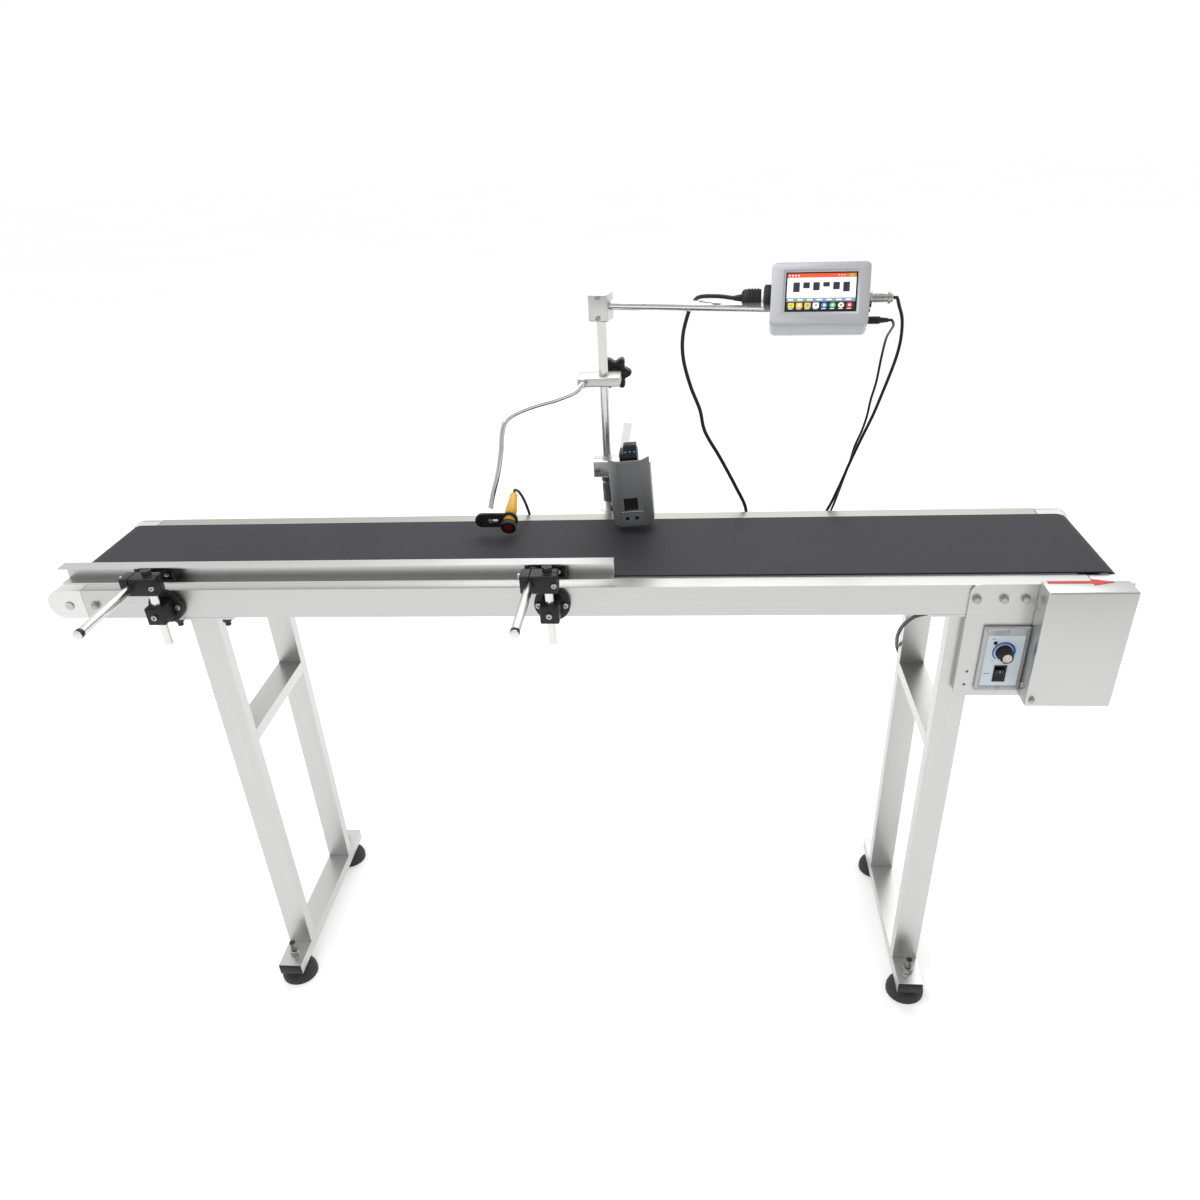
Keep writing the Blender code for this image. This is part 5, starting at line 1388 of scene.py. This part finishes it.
def photocell():
    nut = bar("lens_nut", (0, 0.0010, 0), (0, 0.0095, 0), 0.0115, 36)
    pick(nut, lambda centre, normal: abs(normal.y) < 0.1)
    bpy.ops.mesh.inset(thickness=0.0002, use_individual=True)
    bpy.ops.mesh.extrude_faces_move(TRANSFORM_OT_shrink_fatten={"value": -0.0003})
    bpy.ops.object.mode_set(mode="OBJECT")
    rim = bar("rim", (0, 0, 0), (0, 0.002, 0), 0.0108, 36)
    weld(nut, rim)
    hollow = bar("hollow", (0, -0.01, 0), (0, 0.0025, 0), 0.0082, 36)
    carve(nut, hollow)
    placed(nut, BARREL)
    done(soften(nut, 0.0002, 1, 40), "sensor", BLACK)
    glass = bar("sensor_lens", (0, 0.0006, 0), (0, 0.003, 0), 0.0080, 36)
    pick(glass, lambda centre, normal: normal.y < -0.9)
    bpy.ops.mesh.bevel(offset=0.0018, segments=3)
    bpy.ops.object.mode_set(mode="OBJECT")
    done(placed(glass, BARREL), "sensor", LENS_GLASS)
    threads = bar("sensor_thread", (0, 0.0090, 0), (0, 0.030, 0), 0.0086, 36)
    for i in range(12):
        y = 0.0102 + 0.0016 * i
        weld(threads, bar("turn", (0, y, 0), (0, y + 0.0009, 0), 0.0090, 36))
    done(placed(threads, BARREL), "sensor", YELLOW)
    barrel = bar("sensor_barrel", (0, 0.030, 0), (0, 0.041, 0), 0.0090, 36)
    inset_push(
        barrel,
        lambda centre, normal: normal.y > 0.9,
        0,
        (0, 0.026, 0),
        (0.70, 1, 0.70),
    )
    soften(barrel, 0.0010, 3, 8)
    collar = bar("collar", (0, 0.066, 0), (0, 0.0745, 0), 0.0061, 32)
    weld(barrel, soften(collar, 0.0008, 2))
    placed(barrel, BARREL)
    done(barrel, "sensor", YELLOW, ["photocell"])
    relief = taper("sensor_relief", (0, 0.0740, 0), (0, 0.0790, 0), 0.0046, 0.0032)
    done(placed(soften(relief, 0.0004, 2), BARREL), "sensor", CORD)

    centre = LENS + LENS_AXIS * 0.019
    plate = block(
        "sensor_holder",
        (centre.x - 0.042, centre.y - 0.003, centre.z - 0.0105),
        (centre.x, centre.y + 0.003, centre.z + 0.0105),
    )
    ring = bar(
        "ring",
        (centre.x, centre.y - 0.003, centre.z),
        (centre.x, centre.y + 0.003, centre.z),
        0.0125,
        48,
    )
    end = bar(
        "end",
        (centre.x - 0.042, centre.y - 0.003, centre.z),
        (centre.x - 0.042, centre.y + 0.003, centre.z),
        0.0105,
        48,
    )
    weld(plate, ring, end)
    soften(plate, 0.0010, 2, 60)
    bore = bar("bore", LENS, LENS + LENS_AXIS * 0.04, 0.0094)
    slot = block(
        "slot",
        (centre.x - 0.033, centre.y - 0.01, centre.z - 0.0022),
        (centre.x - 0.017, centre.y + 0.01, centre.z + 0.0022),
    )
    carve(plate, bore, soften(slot, 0.0021, 3))
    done(plate, "sensor", BLACK, ["sensor_bracket"])
    screw = socket_screw(0.0036, 0.0030)
    spots = [(Vector((centre.x - 0.028, centre.y - 0.003, centre.z)), (0, -1, 0))]
    scatter("sensor_holder_screw", screw, spots, "sensor", FIXING)


# ------------------------------------------------------------ coding head
HEAD_PIVOT = at(0.066, 0, 0.070)
LEAN = (
    Matrix.Translation(HEAD_PIVOT)
    @ Matrix.Rotation(math.radians(-3.6), 4, "Y")
    @ Matrix.Translation(-HEAD_PIVOT)
)


def coding_head():
    shell = block("head_case", at(0.055, 0.059, 0.010), at(0.116, 0.095, 0.111))
    inset_push(
        shell, lambda centre, normal: normal.y < -0.9, 0, (0, -0.014, 0), (0.639, 1, 1)
    )
    soften(shell, 0.0008, 2, 20)
    behind = block("behind", at(0.040, 0.0600, 0.090), at(0.130, 0.110, 0.130))
    inside = block("inside", at(0.0576, 0.0590, 0.090), at(0.1134, 0.0650, 0.130))
    inset_push(
        inside, lambda centre, normal: normal.y < -0.9, 0, (0, -0.0120, 0), (0.663, 1, 1)
    )
    carve(shell, behind, inside)
    front = at(0, 0.045, 0).y
    upper = block(
        "upper", (at(0.0685, 0, 0).x, front - 0.01, at(0, 0, 0.0565).z),
        (at(0.1025, 0, 0).x, front + 0.0010, at(0, 0, 0.1065).z),
    )
    lower = block(
        "lower", (at(0.0690, 0, 0).x, front - 0.01, at(0, 0, 0.0335).z),
        (at(0.1020, 0, 0).x, front + 0.0007, at(0, 0, 0.0550).z),
    )
    window = block(
        "window", (at(0.0740, 0, 0).x, front - 0.01, at(0, 0, 0.0345).z),
        (at(0.0950, 0, 0).x, front + 0.0050, at(0, 0, 0.0540).z),
    )
    holes = [
        bar("hole", at(x, 0.03, 0.0225), at(x, 0.0490, 0.0225), 0.0031)
        for x in (0.0775, 0.0915)
    ]
    pocket = block("pocket", at(0.0715, 0.054, 0.022), at(0.0995, 0.086, 0.13))
    carve(shell, upper, lower, window, *holes, pocket)
    placed(shell, LEAN)
    done(shell, "printhead", HEAD_PAINT, ["printhead_shell"])

    plate = block("nozzle_plate", at(0.0742, 0.0484, 0.0347), at(0.0948, 0.0499, 0.0538))
    inset_push(plate, lambda centre, normal: normal.y < -0.9, 0.0025, (0, 0.0004, 0))
    done(placed(soften(plate, 0.0002, 1), LEAN), "printhead", DEEP_BLACK_AND_HOLE_SHADE)
    sills = []
    for low_x, high_x, low_z, high_z in (
        (0.0690, 0.0735, 0.0320, 0.0334),
        (0.0735, 0.0960, 0.0320, 0.0338),
        (0.0960, 0.1030, 0.0320, 0.0334),
    ):
        sill = block("sill", at(low_x, 0.0443, low_z), at(high_x, 0.0456, high_z))
        sills.append(soften(sill, 0.0004, 2))
    sills = gather("head_trim", sills)
    done(placed(sills, LEAN), "printhead", BRIGHT_ROD)
    # near-black discs at the floors of the head's two blind holes: painted shade in the holes
    plugs = []
    for x in (0.0775, 0.0915):
        plug = bar("plug", at(x, 0.0482, 0.0225), at(x, 0.0495, 0.0225), 0.0030)
        plugs.append(soften(plug, 0.0003, 1))
    plugs = gather("head_hole_painted_shade", plugs)
    done(placed(plugs, LEAN), "printhead", DEEP_BLACK_AND_HOLE_SHADE)

    body = block("cartridge_body", at(0.0730, 0.0543, 0.0223), at(0.0992, 0.0857, 0.119))
    soften(body, 0.0010, 2)
    for i in range(5):
        x = 0.0728 + 0.0064 * i
        notch = bar("notch", at(x, 0.050, 0.1075), at(x, 0.0556, 0.1075), 0.0026)
        carve(body, notch)
    cap = block("cap", at(0.0790, 0.061, 0.110), at(0.0985, 0.079, 0.1290))
    soften(cap, 0.0022, 3)
    weld(body, cap)
    rib = block("rib", at(0.0800, 0.0600, 0.1180), at(0.0975, 0.0800, 0.1205))
    weld(body, soften(rib, 0.0006, 2))
    placed(body, LEAN)
    done(body, "printhead", BLACK, ["ink_cartridge"])
    dots = []
    for i in range(3):
        x = 0.0825 + 0.0062 * i
        dot = bar("dot", at(x, 0.0600, 0.1190), at(x, 0.0600, 0.1203), 0.0015, 20)
        dots.append(soften(dot, 0.0003, 2))
    dots = gather("contact_dots", dots)
    # the contact dots take an emissive look: painted glow on parts that are no lamp
    done(placed(dots, LEAN), "printhead", DOT_BLUE_PAINTED_GLOW)
    screw = dome_screw(0.0026, 0.0014)
    spots = []
    for x in (0.060, 0.111):
        for z in (0.020, 0.080):
            spots.append((LEAN @ at(x, 0.095, z), (0, 1, 0)))
    scatter("head_screws", screw, spots, "printhead", FIXING)
    button = bar("head_side_knob", at(0.0562, 0.074, 0.030), at(0.0512, 0.074, 0.030), 0.0048)
    inset_push(button, lambda centre, normal: normal.x < -0.9, 0.001, (0.0006, 0, 0))
    done(placed(soften(button, 0.0008, 2), LEAN), "printhead", BLACK)
    relief = taper("head_relief", at(0.098, 0.0955, 0.040), at(0.098, 0.112, 0.040), 0.0052, 0.0034)
    done(soften(relief, 0.0004, 2), "printhead", CORD)
    cap = bar("head_rod_cap", at(0.066, 0.3498, 0.070), at(0.066, 0.345, 0.070), 0.0080)
    done(soften(cap, 0.0020, 3), "printhead", BRIGHT_ROD)


# ------------------------------------------------------------ controller
def controller():
    case = block("controller_case", (-0.063, 0, -0.0405), (0.063, 0.044, 0.0405))
    pick(case, lambda centre, normal: abs(normal.y) > 0.9)
    bpy.ops.mesh.select_mode(type="EDGE")
    bpy.ops.mesh.select_all(action="INVERT")
    bpy.ops.mesh.bevel(offset=0.0068, segments=6)
    bpy.ops.object.mode_set(mode="OBJECT")
    soften(case, 0.0014, 3, 60)
    groove = block("groove", (-0.08, 0.0320, -0.06), (0.08, 0.0328, 0.06))
    keep = block("keep", (-0.0624, 0.02, -0.0399), (0.0624, 0.05, 0.0399))
    carve(groove, keep)
    carve(case, groove)
    border = block("border", (-0.0475, -0.01, -0.0265), (0.0500, 0.0008, 0.0305))
    soften(border, 0.0012, 2)
    glass = block("glass", (-0.0445, -0.01, -0.0235), (0.0470, 0.0020, 0.0275))
    carve(case, border, glass)
    placed(case, HOUSING)
    socket = block("arm_socket", (-0.036, -0.012, -0.012), (0.004, 0.012, 0.012))
    soften(socket, 0.0022, 3)
    turn = Matrix.Rotation(SWING, 4, "Z")
    placed(socket, Matrix.Translation(along_arm(0.2853)) @ turn)
    weld(case, socket)
    bore = bar("arm_bore", along_arm(0.215), along_arm(0.2853), 0.0073)
    carve(case, bore)
    done(case, "mast", HOUSING_PAINT, ["controller_housing"])

    glass = block("screen_glass", (-0.0443, 0.0012, -0.0233), (0.0468, 0.0022, 0.0273))
    done(placed(soften(glass, 0.0003, 1), HOUSING), "mast", SCREEN["glass"])

    left, right, low, high = -0.0425, 0.0450, -0.0215, 0.0257

    def patch(name, u0, v0, u1, v1, lift, round_by=0.0002):
        """A thin tile; u runs right and v down, both from 0 to 1."""
        x0, x1 = left + (right - left) * u0, left + (right - left) * u1
        z1, z0 = high - (high - low) * v0, high - (high - low) * v1
        front = 0.0012 - 0.00015 * lift
        tile = block(name, (x0, front, z0), (x1, front + 0.0002, z1))
        if round_by > 0.0003:
            pick(tile, lambda centre, normal: abs(normal.y) > 0.9)
            bpy.ops.mesh.select_mode(type="EDGE")
            bpy.ops.mesh.select_all(action="INVERT")
            bpy.ops.mesh.bevel(offset=min(round_by, abs(x1 - x0) / 2.1), segments=5)
            bpy.ops.object.mode_set(mode="OBJECT")
        return tile

    def show(name, tiles, look):
        tiles = gather(name, tiles) if len(tiles) > 1 else tiles[0]
        tiles.name = name
        done(placed(tiles, HOUSING), "mast", look)

    show("screen_top_bar", [patch("bar", 0, 0, 1, 0.105, 1)], SCREEN["bar"])
    show("screen_page", [patch("page", 0, 0.110, 1, 0.665, 1)], SCREEN["paper"])
    show("screen_middle_strip", [patch("strip", 0, 0.670, 1, 0.765, 1)], SCREEN["strip"])
    show("screen_tray", [patch("tray", 0, 0.770, 1, 1, 1)], SCREEN["dark"])
    light = [patch("spot", 0.02 + 0.045 * i, 0.035, 0.04 + 0.045 * i, 0.070, 2) for i in range(4)]
    light += [patch("spot", 0.74 + 0.04 * i, 0.040, 0.755 + 0.04 * i, 0.065, 2) for i in range(3)]
    for i in range(7):
        light.append(patch("entry", 0.02 + 0.14 * i, 0.695, 0.10 + 0.14 * i, 0.730, 2))
    show("screen_light_marks", light, SCREEN["paper"])
    show("screen_ready", [patch("ready", 0.90, 0.025, 0.975, 0.080, 2)], SCREEN["green"])
    ink = []
    for i in range(6):
        u = 0.09 + 0.145 * i
        rise = (0.00, 0.10, 0.04, 0.14, 0.06, 0.00)[i]
        ink.append(patch("sample_tile", u, 0.24, u + 0.095, 0.50 - rise, 2, 0.0008))
    show("screen_sample", ink, SCREEN["ink"])
    ticks = [
        patch("tick", 0.05 + 0.03 * i, 0.615, 0.056 + 0.03 * i, 0.645 if i % 5 else 0.660, 2)
        for i in range(30)
    ]
    ticks += [
        patch("tick", 0.012, 0.15 + 0.04 * i, 0.028 if i % 5 else 0.040, 0.158 + 0.04 * i, 2)
        for i in range(11)
    ]
    show("screen_ruler", ticks, SCREEN["blue"])

    icons = {key: [] for key in ("yellow", "blue", "green", "red", "paper", "strip")}
    plan = (
        ("yellow", "green"), ("yellow", "paper"), ("yellow", "blue"), ("paper", "strip"),
        ("blue", "paper"), ("green", "paper"), ("paper", "red"), ("red", "paper"),
    )
    for i, (main, dot) in enumerate(plan):
        u = 0.025 + 0.1215 * i
        icons[main].append(patch("icon", u, 0.795, u + 0.090, 0.935, 2, 0.0038 if i > 3 else 0.0008))
        icons[dot].append(patch("dot", u + 0.028, 0.835, u + 0.064, 0.895, 3, 0.0015))
        icons["paper"].append(patch("label", u + 0.006, 0.950, u + 0.072, 0.968, 2))
    for key, tiles in icons.items():
        show(f"screen_icons_{key}", tiles, SCREEN[key])

    plug = block("head_plug_hood", (-0.0990, 0.0130, -0.0060), (-0.0750, 0.0310, 0.0120))
    inset_push(
        plug, lambda centre, normal: normal.x < -0.9, 0, (-0.003, 0, 0), (1, 0.7, 0.7)
    )
    soften(plug, 0.0020, 3)
    for i in range(4):
        x = -0.0930 + 0.0040 * i
        rib = block("rib", (x, 0.0124, -0.0066), (x + 0.0016, 0.0316, 0.0126))
        weld(plug, soften(rib, 0.0005, 2))
    done(placed(plug, HOUSING), "mast", BLACK)
    flange = block("head_plug_flange", (-0.0715, 0.0105, -0.0100), (-0.0629, 0.0335, 0.0160))
    inset_push(flange, lambda centre, normal: normal.x < -0.9, 0.002, (-0.001, 0, 0))
    done(placed(soften(flange, 0.0010, 2), HOUSING), "mast", BLACK)
    band = block("head_plug_band", (-0.0755, 0.0125, -0.0066), (-0.0720, 0.0315, 0.0126))
    done(placed(soften(band, 0.0006, 2), HOUSING), "mast", NOSE_METAL)
    boot = taper("head_plug_boot", (-0.1018, 0.022, 0.003), (-0.112, 0.022, 0.003), 0.0050, 0.0032)
    done(placed(soften(boot, 0.0004, 2), HOUSING), "mast", CORD)

    nut = hex_nut(0.0085, 0.0050, 0)
    placed(nut, HOUSING @ facing(Vector((0.0625, 0.022, 0.001)), (1, 0, 0)))
    nut.name = "sensor_plug_nut"
    done(nut, "mast", ZINC)
    sleeve = bar("sensor_plug_sleeve", (0.066, 0.022, 0.001), (0.0935, 0.022, 0.001), 0.0056)
    for i in range(6):
        x = 0.0700 + 0.0022 * i
        weld(sleeve, bar("turn", (x, 0.022, 0.001), (x + 0.0012, 0.022, 0.001), 0.0060))
    weld(sleeve, bar("collar", (0.0875, 0.022, 0.001), (0.0905, 0.022, 0.001), 0.0078, 24))
    done(placed(soften(sleeve, 0.0003, 1), HOUSING), "mast", FIXING)
    jack = bar("supply_plug", (0.0620, 0.022, -0.028), (0.0790, 0.022, -0.028), 0.0046)
    for i in range(5):
        x = 0.0665 + 0.0024 * i
        weld(jack, bar("ring", (x, 0.022, -0.028), (x + 0.0011, 0.022, -0.028), 0.0050))
    tail = taper("tail", (0.0785, 0.022, -0.028), (0.0900, 0.022, -0.028), 0.0038, 0.0024)
    weld(jack, tail)
    done(placed(soften(jack, 0.0003, 1, 50), HOUSING), "mast", BLACK)
    nubs = []
    for y in (0.0130, 0.0310):
        nub = bar("nub", (0.0625, y, -0.0120), (0.0665, y, -0.0120), 0.0026, 24)
        nubs.append(soften(nub, 0.0007, 2))
    done(placed(gather("case_buttons", nubs), HOUSING), "mast", BLACK)
    screw = dome_screw(0.0026, 0.0012)
    spots = []
    for x in (-0.052, 0.052):
        for z in (-0.030, 0.030):
            spots.append((HOUSING @ Vector((x, 0.044, z)), HOUSING.to_3x3() @ Vector((0, 1, 0))))
    scatter("case_screws", screw, spots, "mast", FIXING)


def adapter():
    low, high = at(0.062, 0.133, -0.130), at(0.102, 0.159, -0.062)
    case = block("supply_case", low, high)
    soften(case, 0.0035, 4)
    seam = block("seam", low + Vector((-0.01, 0.0125, -0.01)), Vector((high.x + 0.01, low.y + 0.0133, high.z + 0.01)))
    core = block("core", low + Vector((0.0006, 0, 0.0006)), high - Vector((0.0006, 0, 0.0006)))
    carve(seam, core)
    carve(case, seam)
    strap = block("strap", at(0.035, 0.136, -0.128), at(0.065, 0.156, -0.112))
    weld(case, soften(strap, 0.0015, 2))
    bore = bar("bore", at(MAST_X, MAST_Y, -0.15), at(MAST_X, MAST_Y, -0.09), 0.0073)
    carve(case, bore)
    done(case, "mast", BLACK, ["power_adapter"])


def floor():
    bpy.ops.object.select_all(action="DESELECT")
    bpy.ops.mesh.primitive_plane_add(size=1, location=(0, 3, 0), scale=(1, 1, 1))
    ground = bpy.context.object
    ground.name = "studio_ground"
    ground.scale = (30, 30, 1)
    settle(ground)
    ground.data.materials.append(floor_look().material)


def lighting():
    world = bpy.data.worlds.new("studio")
    world.use_nodes = True
    tree = world.node_tree
    sky = tree.nodes["Background"]
    sky.inputs[0].default_value = (1, 1, 1, 1)
    place = tree.nodes.new("ShaderNodeTexCoord")
    parts = tree.nodes.new("ShaderNodeSeparateXYZ")
    shade = tree.nodes.new("ShaderNodeMapRange")
    for index, value in enumerate((-0.7, 0.3, 0.50, 1.0), 1):
        shade.inputs[index].default_value = value
    tree.links.new(place.outputs["Generated"], parts.inputs[0])
    tree.links.new(parts.outputs["Y"], shade.inputs[0])
    tree.links.new(shade.outputs[0], sky.inputs[1])
    bpy.context.scene.world = world
    bpy.context.scene.view_settings.view_transform = "Standard"
    lamp("key_lamp", (-0.9, -0.6, 3.2), (0, 0, 0.7), (2.4, 1.8), 34)
    lamp("back_lamp", (0.5, 2.2, 3.0), (0, 0, 0.7), (3.0, 1.6), 30)


make_camera()
make_cords(CORD, TIE, BRIGHT_ROD)
dress_frame()
stand_fixings()
frame_screws()
drive_panel()
speed_knob()
rocker()
plate_spacer()
drive_cover()
gearmotor()
guide()
mast_blocks()
head_clamp()
sensor_arm()
photocell()
coding_head()
controller()
adapter()
floor()
lighting()

bpy.ops.object.select_all(action="DESELECT")
